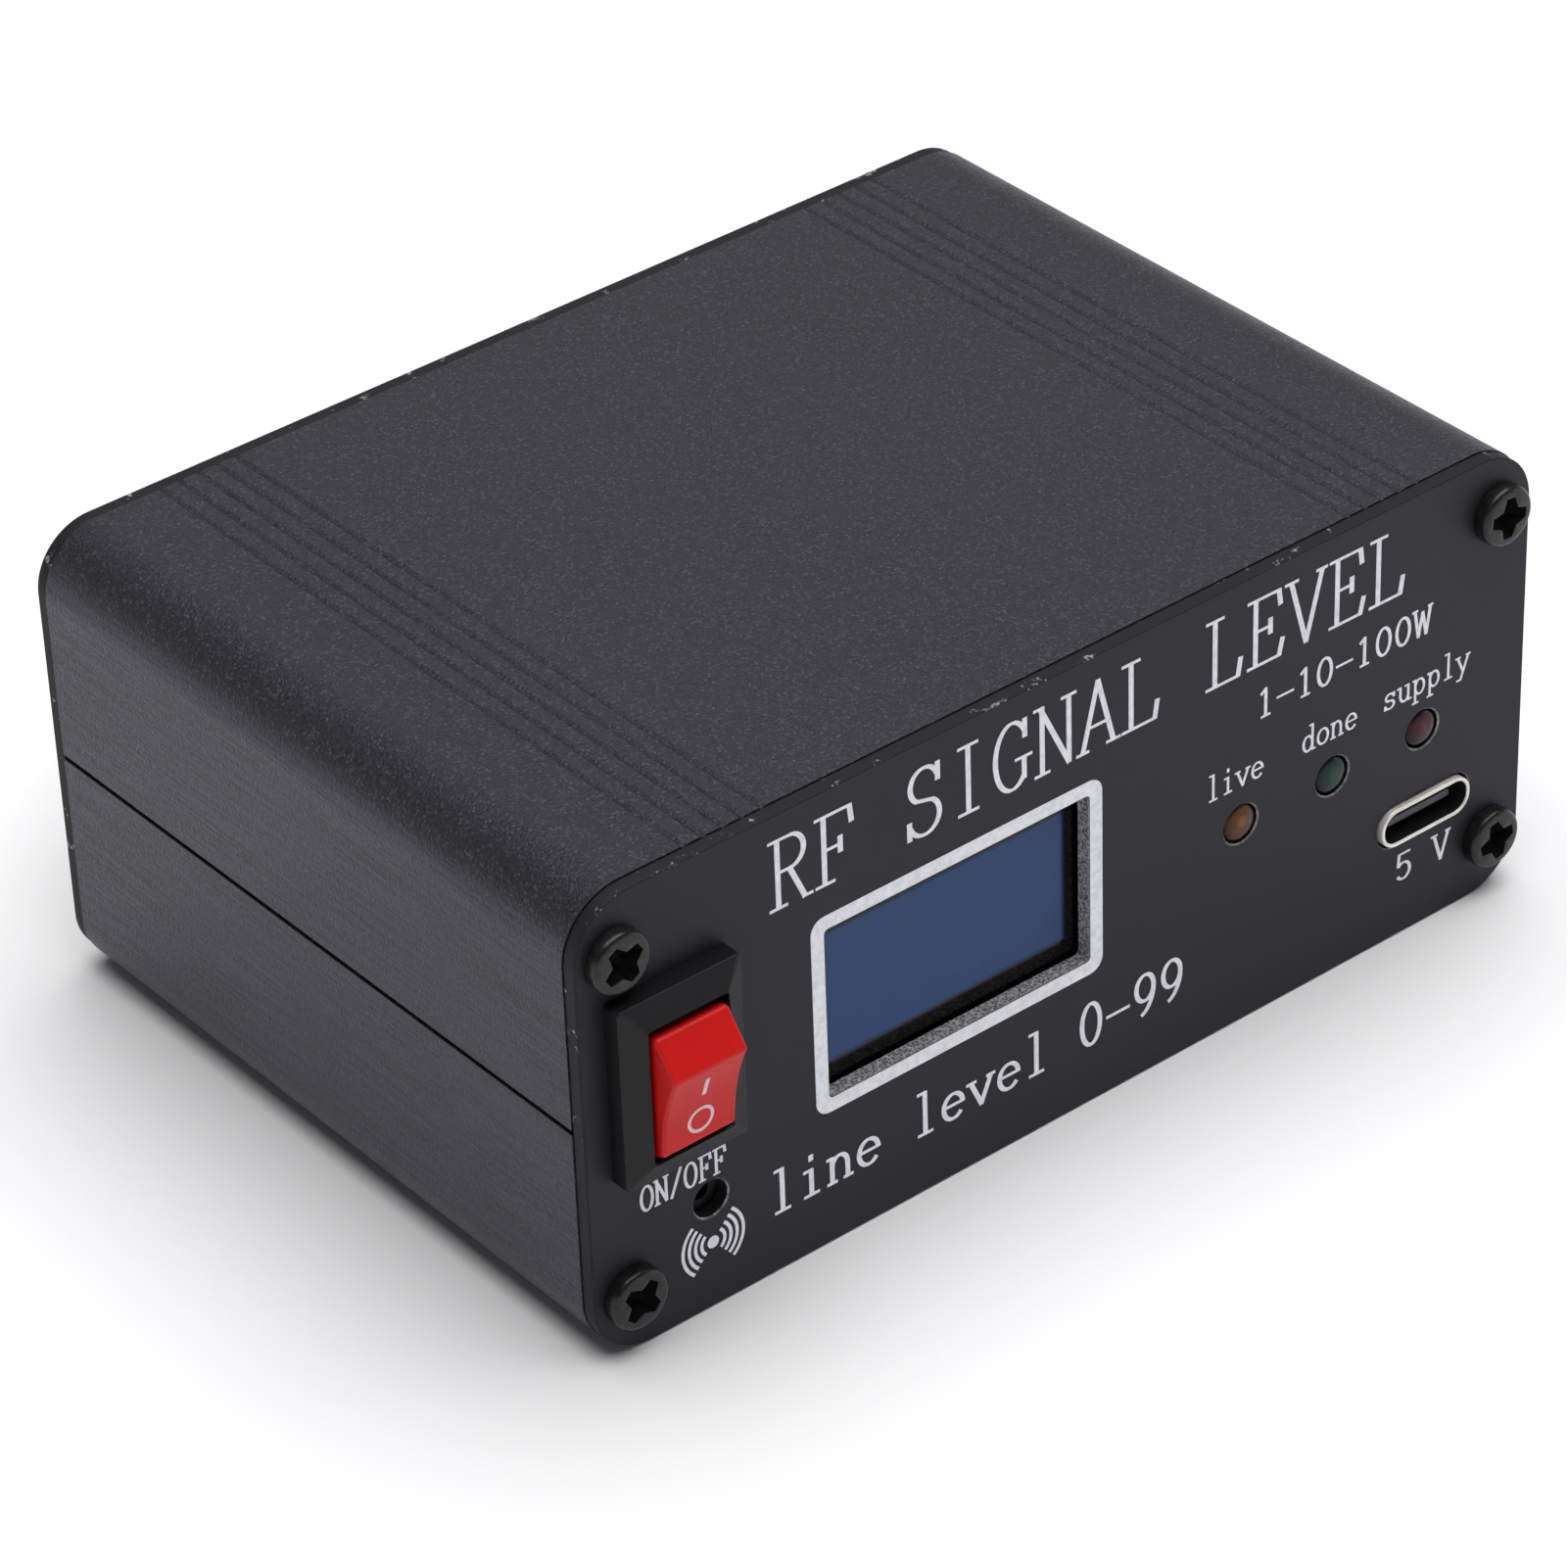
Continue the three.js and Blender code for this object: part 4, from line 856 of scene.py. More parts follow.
def shell_outside(sizes, half, seam, top):
    """Right half of a shell's outside, from the seam up and over to the middle groove."""
    points = [(half, seam)]
    points += arc(half - sizes.corner, top - sizes.corner, sizes.corner, sizes.corner, 0, 90, 24)
    for i in range(sizes.groove_count):
        x = half - sizes.groove_start - i * sizes.groove_pitch
        wide, deep = sizes.groove_width / 2, sizes.groove_depth
        flat = wide / 5
        points += [(x + wide, top), (x + flat, top - deep), (x - flat, top - deep), (x - wide, top)]
    return points


def shell_section(sizes, half, seam, top, joint):
    """A shell's whole section; joint is the right half of its inner side below the corner."""
    outside = shell_outside(sizes, half, seam, top)
    inner = sizes.corner - sizes.wall
    inside = joint + arc(half - sizes.corner, top - sizes.corner, inner, inner, 0, 90, 16)
    return outside + mirrored(outside)[::-1] + mirrored(inside) + inside[::-1]


class METER_OT_case(bpy.types.Operator):
    """Builds the two extruded shells"""

    bl_idname = "meter.case"
    bl_label = "Case Shells"

    def execute(self, context):
        sizes = context.scene.meter_case
        finish = anodised_finish(tuple(sizes.tint))
        upper_low, upper_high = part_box("upper_shell")
        tongue_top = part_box("lower_shell")[1].z
        half, top = upper_high.x, upper_high.z
        lip, wall = half - sizes.lip, half - sizes.wall
        slip = 0.15 * MM
        joint = [(lip, upper_low.z), (lip, tongue_top + slip), (wall, tongue_top + slip)]
        section = shell_section(sizes, half, upper_low.z, top, joint)
        self.shell("upper_shell", "front_screw_1", section, sizes.edge, finish)

        # The lower shell is drawn upside down, with heights measured down from the top, and turned over.
        seam = tongue_top - sizes.tongue
        edge = top - (2 * seam - upper_low.z)
        joint = [(lip - slip, edge), (lip - slip, top - tongue_top), (wall, top - tongue_top)]
        board_low, board_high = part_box("main_board")
        play, rib, reach = 0.1 * MM, 1.2 * MM, 1.2 * MM
        above, below = top - board_high.z - play, top - board_low.z + play
        for start, end in ((above - rib, above), (below, below + rib)):
            joint += [(wall, start), (wall - reach, start), (wall - reach, end), (wall, end)]
        section = [(x, top - z) for x, z in shell_section(sizes, half, edge, top, joint)]
        self.shell("lower_shell", "front_screw_3", section, sizes.edge, finish)
        return {"FINISHED"}

    def shell(self, node, screw, section, edge, finish):
        """A shell between its two sawn ends, with a boss and a bore for the screw on each side."""
        low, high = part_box(node)
        spot = middle(screw)
        boss, bore = 2.7 * MM, 1.45 * MM
        sides = (spot.x, -spot.x)
        bosses = [circle(x, spot.z, boss, 32) for x in sides]
        bores = [circle(x, spot.z, bore, 24) for x in sides]
        shape = Shape()
        shape.slab([section, *bosses], bores, low.y, high.y)
        shape.merge_flats()
        name = f"{node}_extrusion"
        piece(name, shape.made(node), [finish], [node], "anodised_shell", rounding=edge, limit=50)


def quarter(steps):
    """Angles of a quarter turn, in equal steps."""
    return [math.pi / 2 * i / steps for i in range(steps + 1)]


def rimmed_plate(shape, outer, holes, front, back, rim, steps=4):
    """A plate with a rounded edge; holes are (outline as a function of growth, chamfer, finish)."""
    thick = abs(back - front)
    way = 1 if back > front else -1
    rounded = [(rim * (1 - math.sin(t)), rim * (1 - math.cos(t))) for t in quarter(steps)]
    ends = [(inset, front + way * depth) for inset, depth in rounded]
    ends += [(inset, back - way * depth) for inset, depth in rounded[::-1]]
    loops = [shape.loop(outer(-inset), depth) for inset, depth in ends]
    shape.band(loops, 1)
    fronts, backs = [loops[0]], [loops[-1]]
    for outline, chamfer, finish in holes:
        cut = min(chamfer, thick / 4)
        walls = [
            shape.loop(outline(cut), front),
            shape.loop(outline(0), front + way * cut),
            shape.loop(outline(0), back - way * cut),
            shape.loop(outline(cut), back),
        ]
        shape.band(walls[:2], 2)
        shape.band(walls[1:], finish)
        fronts.append(walls[0])
        backs.append(walls[-1])
    shape.lid(fronts)
    shape.lid(backs)


def growing_box(x, z, width, height, radius, steps=6):
    """A rounded box's outline as a function of how far it grows."""
    least = 0.01 * MM

    def outline(grow):
        corner = max(radius + grow, least)
        return round_box(x, z, width + 2 * grow, height + 2 * grow, corner, steps)

    return outline


def growing_circle(x, z, radius, steps=48):
    """A circle's outline as a function of how far it grows."""
    return lambda grow: circle(x, z, radius + grow, steps)


DEBURRED = 0.05 * MM  # chamfer of a hole that is only deburred


class METER_OT_plates(bpy.types.Operator):
    """Builds the front and rear plates with their holes"""

    bl_idname = "meter.plates"
    bl_label = "Plates"

    def execute(self, context):
        sizes, case = context.scene.meter_plate, context.scene.meter_case
        base = tuple(sizes.tint)
        finishes = [plate_finish(base), worn_edge_finish(base), bare_edge_finish(), milled_finish()]
        low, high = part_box("front_plate")
        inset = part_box("upper_shell")[1].x - high.x
        outer = growing_box(0, PLATE_MIDDLE.z, high.x - low.x, high.z - low.z, case.corner - inset, 24)
        corner_holes = [self.screw_hole(f"front_screw_{i}", 1.55 * MM) for i in range(1, 5)]
        front_holes = self.front_holes(sizes) + corner_holes
        self.plate("front", outer, front_holes, PLATE_FRONT, PLATE_BACK, finishes)
        rear_holes = list(corner_holes)
        for name in SOCKETS:
            insulator = middle(f"{name}_socket_insulator")
            rear_holes.append((growing_circle(insulator.x, insulator.z, 5.7 * MM), DEBURRED, 0))
            rear_holes += [self.screw_hole(f"{name}_flange_screw_{i}", 1.4 * MM) for i in range(1, 5)]
        self.plate("rear", outer, rear_holes, REAR_FACE, REAR_FRONT, finishes)
        return {"FINISHED"}

    def screw_hole(self, node, radius):
        spot = middle(node)
        return (growing_circle(spot.x, spot.z, radius, 24), DEBURRED, 0)

    def front_holes(self, sizes):
        """The front plate's window, switch opening, port slot, sound hole and lamp holes."""
        bezel, play = extent("switch_housing"), 0.3 * MM
        switch_width = bezel.x - SWITCH_INSET_X + play
        switch_height = bezel.z - SWITCH_INSET_Z + play
        port, port_size = middle("port_shell"), extent("port_shell")
        slot_width = port_size.x + 2 * sizes.port_gap
        slot_height = port_size.z + 2 * sizes.port_gap
        slot_corner = slot_height / 2 - 0.05 * MM
        sound = middle("buzzer")
        window = growing_box(WINDOW.x, WINDOW.z, sizes.window_width, sizes.window_height, 0.35 * MM)
        holes = [
            (window, 0.04 * MM, 3),
            (growing_box(SWITCH.x, PIVOT.z, switch_width, switch_height, 0.2 * MM), DEBURRED, 0),
            (growing_box(port.x, port.z, slot_width, slot_height, slot_corner, 12), 0.06 * MM, 0),
            (growing_circle(sound.x, sound.z, sizes.sound_hole), sizes.chamfer, 0),
        ]
        for name in LAMPS:
            holes.append((growing_circle(*lamp_middle(name), sizes.lamp_hole), sizes.chamfer, 0))
        return holes

    def plate(self, end, outer, holes, face, back, finishes):
        shape = Shape()
        rimmed_plate(shape, outer, holes, face, back, bpy.context.scene.meter_plate.rim)
        node = f"{end}_plate"
        piece(f"{node}_panel", shape.made(node), finishes, [node], "black_plate", sharp=30)


class METER_OT_print(bpy.types.Operator):
    """Prints the generic lettering, the sound mark and the window border on the front plate"""

    bl_idname = "meter.print"
    bl_label = "Lettering"

    def execute(self, context):
        words, sizes = context.scene.meter_print, context.scene.meter_plate
        finish = ink_finish(tuple(sizes.ink))
        x0, z0 = PLATE_MIDDLE.x, PLATE_MIDDLE.z
        # In mm from the plate's middle: left, right, base line, letter height, broad and fine stroke.
        lines = {
            "title_print": (words.title, -27.6, 31.6, 11.35, 5.5, 0.45, 0.24),
            "scale_print": (words.scale, 16.9, 34.3, 6.75, 2.3, 0.3, 0.19),
            "run_print": (words.run, 12.2, 17.9, 1.75, 2.15, 0.23, 0.15),
            "full_print": (words.full, 21.5, 27.1, 1.75, 2.15, 0.23, 0.15),
            "charge_print": (words.charge, 29.5, 38.35, 1.75, 2.15, 0.23, 0.15),
            "port_print": (words.port, 31.2, 36.9, -14.2, 2.3, 0.3, 0.18),
            "switch_print": (words.switch, -39.6, -32.0, -7.85, 2.05, 0.25, 0.15),
            "reading_print": (words.reading, -28.6, 10.3, -14.0, 3.6, 0.42, 0.25),
        }
        for name, (text, *millimetres) in lines.items():
            left, right, base, height, thick, thin = [number * MM for number in millimetres]
            outlines = written(text, x0 + left, x0 + right, z0 + base, height, thick, thin)
            self.printed(name, outlines, [], words.thickness, finish)
        border = round_box(WINDOW.x, WINDOW.z, sizes.border_width, sizes.border_height, 1.2 * MM)
        bare = 0.2 * MM
        window = round_box(
            WINDOW.x, WINDOW.z, sizes.window_width + bare, sizes.window_height + bare, 0.4 * MM
        )
        self.printed("window_border_print", [border], [window], words.thickness, finish)
        self.printed("sound_mark_print", self.sound_mark(), [], words.thickness, finish)
        return {"FINISHED"}

    def sound_mark(self):
        """A dot with four waves to each side, under the sound hole."""
        hole = middle("buzzer")
        x, z = hole.x, hole.z - 3.74 * MM
        dot, first, step, stroke = 0.5 * MM, 1.02 * MM, 0.55 * MM, 0.27 * MM
        waves = [circle(x, z, dot, 24)]
        for i in range(4):
            radius = first + step * i
            for start in (-50, 130):
                waves.append(inked(arc(x, z, radius, radius, start, start + 100, 16), stroke, stroke))
        return waves

    def printed(self, name, adds, cuts, thickness, finish):
        shape = Shape()
        shape.slab(adds, cuts, PLATE_FRONT - thickness, PLATE_FRONT)
        piece(name, shape.made(name), [finish])


def cross(arm, tip, root):
    """A cross's outline: four wings that narrow from the root to the tip, given as half widths."""
    wing = [(arm, -tip), (arm, tip), (root, root)]
    points = []
    for i in range(4):
        c, s = round(math.cos(i * math.pi / 2)), round(math.sin(i * math.pi / 2))
        points += [(c * x - s * z, s * x + c * z) for x, z in wing]
    return points


CROWN_CORNER = 0.42 * MM  # rounding of a pan head's shoulder


def pan_head_screw(name, finishes, head, height, shank, reach, recess):
    """A pan-head screw with its underside at 0 and its head towards -Y.

    The cross recess is twice recess across.
    """
    body = Shape()
    side, crown = height * 0.62, height * 0.3
    top = [(head - CROWN_CORNER * (1 - math.cos(t)), -side - crown * math.sin(t)) for t in quarter(5)]
    top += [(head * 0.45, -height + 0.03 * MM), (0.0, -height)]
    brim = [(head * 0.97, 0.0), (head, -0.06 * MM)]
    body.turned([(0.0, reach), (shank * 0.4, reach), (shank, reach - shank), (shank, 0.0), *brim, *top])
    tool = Shape()
    loops = []
    # The recess narrows on its way down; each step is a share of its width and of the head's height.
    for share, depth in ((1.1, -1.2), (1.0, -0.9), (0.82, -0.55), (0.35, -0.12)):
        wings = cross(recess * share, recess * 0.25 * (0.5 + share / 2), recess * 0.43 * share)
        loops.append(tool.loop(wings, height * depth))
    # The recess's faces take the second finish, which on the plate screws is painted shade.
    tool.band(loops, 1)
    tool.lid([loops[0]], 1)
    tool.lid([loops[-1]], 1)
    return cut_away(body.made(name), tool.made("recess"), finishes)


class METER_OT_screws(bpy.types.Operator):
    """Builds the plate screws and the sockets' flange screws"""

    bl_idname = "meter.screws"
    bl_label = "Screws"

    def execute(self, context):
        scene = context.scene
        sizes = scene.meter_screw
        head_and_play, shank = 1.5 * MM, 1.3 * MM
        reach = extent("front_screw_1").y - head_and_play
        # The cross recess is painted near black and dull: painted shade in the recess.
        recess_shade = moulded_finish("recess_painted_shade", (0.002, 0.002, 0.002), 0.7, 0.08)
        black = [black_oxide_finish(tuple(sizes.tint)), recess_shade]
        data = pan_head_screw(
            "plate_screw", black, sizes.case_head, sizes.case_height, shank, reach, sizes.case_recess
        )
        for end, face, turn in (("front", PLATE_FRONT, 0), ("rear", REAR_FACE, math.pi)):
            for i in range(1, 5):
                self.driven(f"{end}_screw_{i}", data, black, "black_screw", face, turn, 20 + 37 * i)
        size = extent("antenna_flange_screw_1")
        head, shank = 1.3 * MM, 1.25 * MM
        plated = [metal_finish("zinc_plate", (0.56, 0.57, 0.6), 0.3, scratch=0.2)]
        data = pan_head_screw(
            "flange_screw", plated, size.x / 2, head, shank, size.y - head, sizes.flange_recess
        )
        for name in SOCKETS:
            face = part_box(f"{name}_socket_body")[0].y + scene.meter_socket.flange
            for i in range(1, 5):
                self.driven(f"{name}_flange_screw_{i}", data, plated, "steel", face, math.pi, 11 + 53 * i)
        return {"FINISHED"}

    def driven(self, node, data, finishes, slot, face, turn, twist):
        """A screw seated on a face, its recess twisted by some degrees."""
        spot = middle(node)
        at = Matrix.Translation((spot.x, face, spot.z)) @ Matrix.Rotation(turn, 4, "Z")
        at = at @ Matrix.Rotation(math.radians(twist), 4, "Y")
        edge = bpy.context.scene.meter_screw.edge
        piece(f"{node}_pan_head", data, finishes, [node], slot, at=at, rounding=edge)


class METER_OT_switch(bpy.types.Operator):
    """Builds the rocker switch: housing, rocker and its marks"""

    bl_idname = "meter.switch"
    bl_label = "Rocker Switch"

    def execute(self, context):
        sizes = context.scene.meter_switch
        self.housing(sizes)
        self.rocker(sizes)
        return {"FINISHED"}

    def housing(self, sizes):
        low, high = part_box("switch_housing")
        face, x, z = PLATE_FRONT, SWITCH.x, PIVOT.z
        bezel_width, bezel_height = high.x - low.x, high.z - low.z
        body_width, body_height = bezel_width - SWITCH_INSET_X, bezel_height - SWITCH_INSET_Z
        back_thickness, end_walls = 1.6 * MM, 1.7 * MM
        back, floor = high.y, high.y - back_thickness
        shape = Shape()

        def level(width, height, depth, radius):
            return shape.loop(round_box(x, z, width, height, radius), depth)

        edge, body_corner, bezel_corner, opening_corner = 0.16 * MM, 0.3 * MM, 0.34 * MM, 0.22 * MM
        outside = [
            level(body_width - 2 * edge, body_height - 2 * edge, back, body_corner),
            level(body_width, body_height, back - edge, body_corner),
            level(body_width, body_height, face, body_corner),
            level(bezel_width, bezel_height, face, body_corner),
        ]
        for t in quarter(4):
            inset = 2 * edge * (1 - math.cos(t))
            depth = face - sizes.bezel_edge + edge * (1 - math.sin(t))
            outside.append(level(bezel_width - inset, bezel_height - inset, depth, bezel_corner))
        for t in quarter(4):
            grow = 2 * edge * (1 - math.sin(t))
            depth = face - sizes.bezel_rim + edge * (1 - math.cos(t)) * 1.4 + (edge * 0.35 if t == 0 else 0)
            width, height = sizes.opening_width + grow, sizes.opening_height + grow
            outside.append(level(width, height, depth, opening_corner))
        # The pocket that the rocker swings in, then the chamber behind it.
        chamber, corner = 6.9 * MM, 0.2 * MM
        last = PIVOT.y - 0.5 * MM
        first = face - sizes.bezel_rim + 0.35 * MM
        for i in range(7):
            depth = first + (last - first) * i / 6
            height = 2 * math.sqrt(sizes.sweep ** 2 - (depth - PIVOT.y) ** 2)
            outside.append(level(chamber, max(height, sizes.opening_height), depth, corner))
        outside.append(level(chamber, body_height - end_walls, last, corner))
        outside.append(level(chamber, body_height - end_walls, floor, corner))
        shape.band(outside)
        slots, play = [], 0.2 * MM
        for node in ("common_terminal", "load_terminal"):
            spot, size = middle(node), extent(node)
            hole = round_box(spot.x, spot.z, size.x + play, size.z + play, play / 2)
            slots.append([shape.loop(hole, floor), shape.loop(hole, back)])
            shape.band(slots[-1])
        shape.lid([outside[-1], *[pair[0] for pair in slots]])
        shape.lid([outside[0], *[pair[1] for pair in slots]])
        black = moulded_finish("switch_nylon", (0.006, 0.006, 0.0075), 0.46, 0.26)
        data = shape.made("switch_bezel")
        piece("switch_bezel", data, [black], ["switch_housing"], "switch_black", sharp=40)

    def face_height(self, sizes, along):
        """Height of the rocker's hollow face over the pivot."""
        return sizes.face_height - sizes.face_sag * (1 - (along / sizes.face_half) ** 2)

    def rocker(self, sizes):
        half_width = 3.125 * MM
        at = Matrix.Translation(PIVOT) @ Matrix.Rotation(sizes.tilt, 4, "X")
        face = []
        for i in range(13):
            along = sizes.face_half * (1 - i / 6)
            face.append((along, self.face_height(sizes, along)))
        end_along, end_height = sizes.face_half + 2.06 * MM, sizes.face_height - 2.55 * MM
        belly, stem, stem_end = -1.2 * MM, 1.9 * MM, -3.4 * MM
        side = [
            (end_along, end_height),
            (end_along - 0.5 * MM, end_height - 1.08 * MM),
            (sizes.face_half + 0.77 * MM, belly),
            (stem, belly),
            (stem, stem_end),
        ]
        outline = face + mirrored(side) + side[::-1]
        shape = Shape()
        shape.slab([outline], [], -half_width, half_width, sideways)
        shape.merge_flats()
        red = moulded_finish("rocker_red", tuple(sizes.red), 0.36, 0.2, 0.12, 0.004)
        piece(
            "rocker_button", shape.made("rocker"), [red], ["switch_rocker"], "rocker_red", "rocker", at,
            rounding=sizes.rounding, segments=4, limit=24,
        )
        pins = Shape()
        radius, root, tip = 0.75 * MM, half_width - 0.2 * MM, half_width + 0.7 * MM
        for start, end in ((-tip, -root), (root, tip)):
            pins.turned([(0.0, start), (radius, start), (radius, end), (0.0, end)])
        turn = Matrix.Rotation(math.pi / 2, 4, "Z")
        piece("rocker_pins", pins.made("rocker_pins"), [red], (), "rocker_red", "rocker", at @ turn)
        self.marks(sizes, at)

    def marks(self, sizes, at):
        """The on and off marks, laid on the hollow face."""
        ink = ink_finish(tuple(sizes.mark))
        on = inked([(0, 0.7 * MM), (0, 2.2 * MM)], 0.34 * MM, 0.3 * MM)
        rings = [circle(0, -1.75 * MM, radius * MM, 40) for radius in (1.13, 0.87)]
        above, sunk = 0.02 * MM, 0.04 * MM
        for name, adds, cuts in (("on_mark", [on], []), ("off_mark", [rings[0]], [rings[1]])):
            shape = Shape()
            shape.slab(adds, cuts, 0.0, 1.0)
            for corner in shape.mesh.verts:
                x, layer, along = corner.co
                out = self.face_height(sizes, along) + (above if layer > 0.5 else -sunk)
                corner.co = (x, -out, along)
            piece(name, shape.made(name), [ink], (), None, "rocker", at)


class METER_OT_display(bpy.types.Operator):
    """Builds the display's glass"""

    bl_idname = "meter.display"
    bl_label = "Display"

    def execute(self, context):
        low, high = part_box("display_glass")
        size, spot = high - low, (low + high) / 2
        corner, edge = 0.4 * MM, 0.15 * MM
        shape = Shape()
        rimmed_plate(shape, growing_box(spot.x, spot.z, size.x, size.z, corner), [], low.y, high.y, edge)
        glass = display_finish(context.scene.meter_display, WINDOW)
        data = shape.made("display_pane")
        piece("display_pane", data, [glass, glass], ["display_glass"], "display_glass")
        return {"FINISHED"}


LEAD_HALF = 0.25 * MM  # half the side of a lamp's square lead


class METER_OT_lamps(bpy.types.Operator):
    """Builds the three indicator lamps with their leads"""

    bl_idname = "meter.lamps"
    bl_label = "Lamps"

    def execute(self, context):
        colours = context.scene.meter_lamp
        tinned = metal_finish("tinned_lead", (0.62, 0.62, 0.6), 0.35)
        slots = ("lamp_amber", "lamp_green", "lamp_red")
        for name, base, slot in zip(LAMPS, (colours.run, colours.full, colours.charge), slots):
            low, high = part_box(name)
            x, z = lamp_middle(name)
            radius, bulge, flange, edge = 1.5 * MM, 0.5 * MM, MM, 0.1 * MM
            rear = low.y + 5.3 * MM
            dome = [(radius * math.cos(t), low.y + bulge * (1 - math.sin(t))) for t in quarter(12)[:-1]]
            profile = [(0.0, low.y), *dome[::-1], (radius, rear - flange - edge / 2)]
            profile += [(LAMP_FLANGE, rear - flange), (LAMP_FLANGE, rear - edge)]
            profile += [(LAMP_FLANGE - edge, rear), (0.0, rear)]
            shape = Shape()
            shape.turned(profile, x, z)
            for side in (-1.27 * MM, 1.27 * MM):
                self.lead(shape, x + side, z, rear - 0.5 * MM, high.y - LEAD_HALF, low.z)
            finishes = [lamp_finish(f"{name}_epoxy", tuple(base), x, z), tinned]
            piece(f"{name}_lens", shape.made(name), finishes, [name], slot)
        return {"FINISHED"}

    def lead(self, shape, x, z, start, bend, foot):
        """A square lead that runs back and turns down to the board."""
        left, right = x - LEAD_HALF, x + LEAD_HALF
        stations = [
            ((start, z), (0, LEAD_HALF)),
            ((bend, z), (LEAD_HALF, LEAD_HALF)),
            ((bend, foot), (LEAD_HALF, 0)),
        ]
        loops = []
        for (y, up), (back, rise) in stations:
            corners = [(left, y + back, up + rise), (right, y + back, up + rise)]
            corners += [(right, y - back, up - rise), (left, y - back, up - rise)]
            loops.append([shape.mesh.verts.new(corner) for corner in corners])
        shape.band(loops, 1)
        for ending in (loops[0], loops[-1]):
            shape.mesh.faces.new(ending).material_index = 1


class METER_OT_port(bpy.types.Operator):
    """Builds the charging port: steel shell, tongue and contacts"""

    bl_idname = "meter.port"
    bl_label = "Charging Port"

    def execute(self, context):
        self.sleeve()
        self.tongue()
        return {"FINISHED"}

    def sleeve(self):
        """A drawn steel sleeve, rounded at its mouth and closed at its back."""
        low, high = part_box("port_shell")
        spot, size = (low + high) / 2, high - low
        wall, back_wall, edge = 0.3 * MM, 0.9 * MM, 0.15 * MM
        round_end = size.z / 2 - 0.1 * MM
        shape = Shape()

        def level(inset, depth):
            width, height = size.x - 2 * inset, size.z - 2 * inset
            return shape.loop(round_box(spot.x, spot.z, width, height, round_end - inset, 12), depth)

        loops = [level(edge, high.y), level(0, high.y - edge)]
        for i in range(9):
            turn = math.pi * i / 8
            loops.append(level(wall / 2 * (1 - math.cos(turn)), low.y + wall / 2 * (1 - math.sin(turn))))
        shape.band(loops)
        floor = level(wall, high.y - back_wall)
        shape.band([loops[-1], floor], 1)
        shape.lid([loops[0]])
        shape.lid([floor], 1)
        steel = metal_finish("port_steel", (0.98, 0.95, 0.9), 0.42, (1, 0.2, 1), 0.2, 0.002, 0.5)
        # The sleeve's inside walls and floor are painted near black: painted shade inside the port.
        inside_shade = moulded_finish("port_inside", (0.01, 0.01, 0.01), 0.55, 0.3)
        piece("port_sleeve", shape.made("port_sleeve"), [steel, inside_shade], ["port_shell"], "nickel", sharp=50)

    def tongue(self):
        """The tongue, with twelve contacts on each of its faces."""
        low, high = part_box("port_tongue")
        x, z = middle("port_shell").x, middle("port_shell").z
        tongue = Shape()
        outline = growing_box(x, z, high.x - low.x, high.z - low.z, 0.25 * MM)
        rimmed_plate(tongue, outline, [], low.y, high.y, 0.12 * MM)
        resin = moulded_finish("tongue_resin", (0.05, 0.05, 0.055), 0.4, 0.5)
        data = tongue.made("port_tongue")
        piece("port_tongue_resin", data, [resin, resin], ["port_tongue"], "chip_black")
        count, pitch, width, reach, half = 12, 0.5 * MM, 0.26 * MM, 2.4 * MM, 0.02 * MM
        pads = Shape()
        for side in (low.z, high.z):
            for i in range(count):
                across = x + (i - (count - 1) / 2) * pitch
                pad = round_box(across, low.y + 1.7 * MM, width, reach, 0.05 * MM, 2)
                pads.slab([pad], [], side - half, side + half, flat_down)
        gold = metal_finish("contact_gold", (0.83, 0.62, 0.28), 0.25)
        piece("port_contacts", pads.made("port_contacts"), [gold], (), "gold_contact")


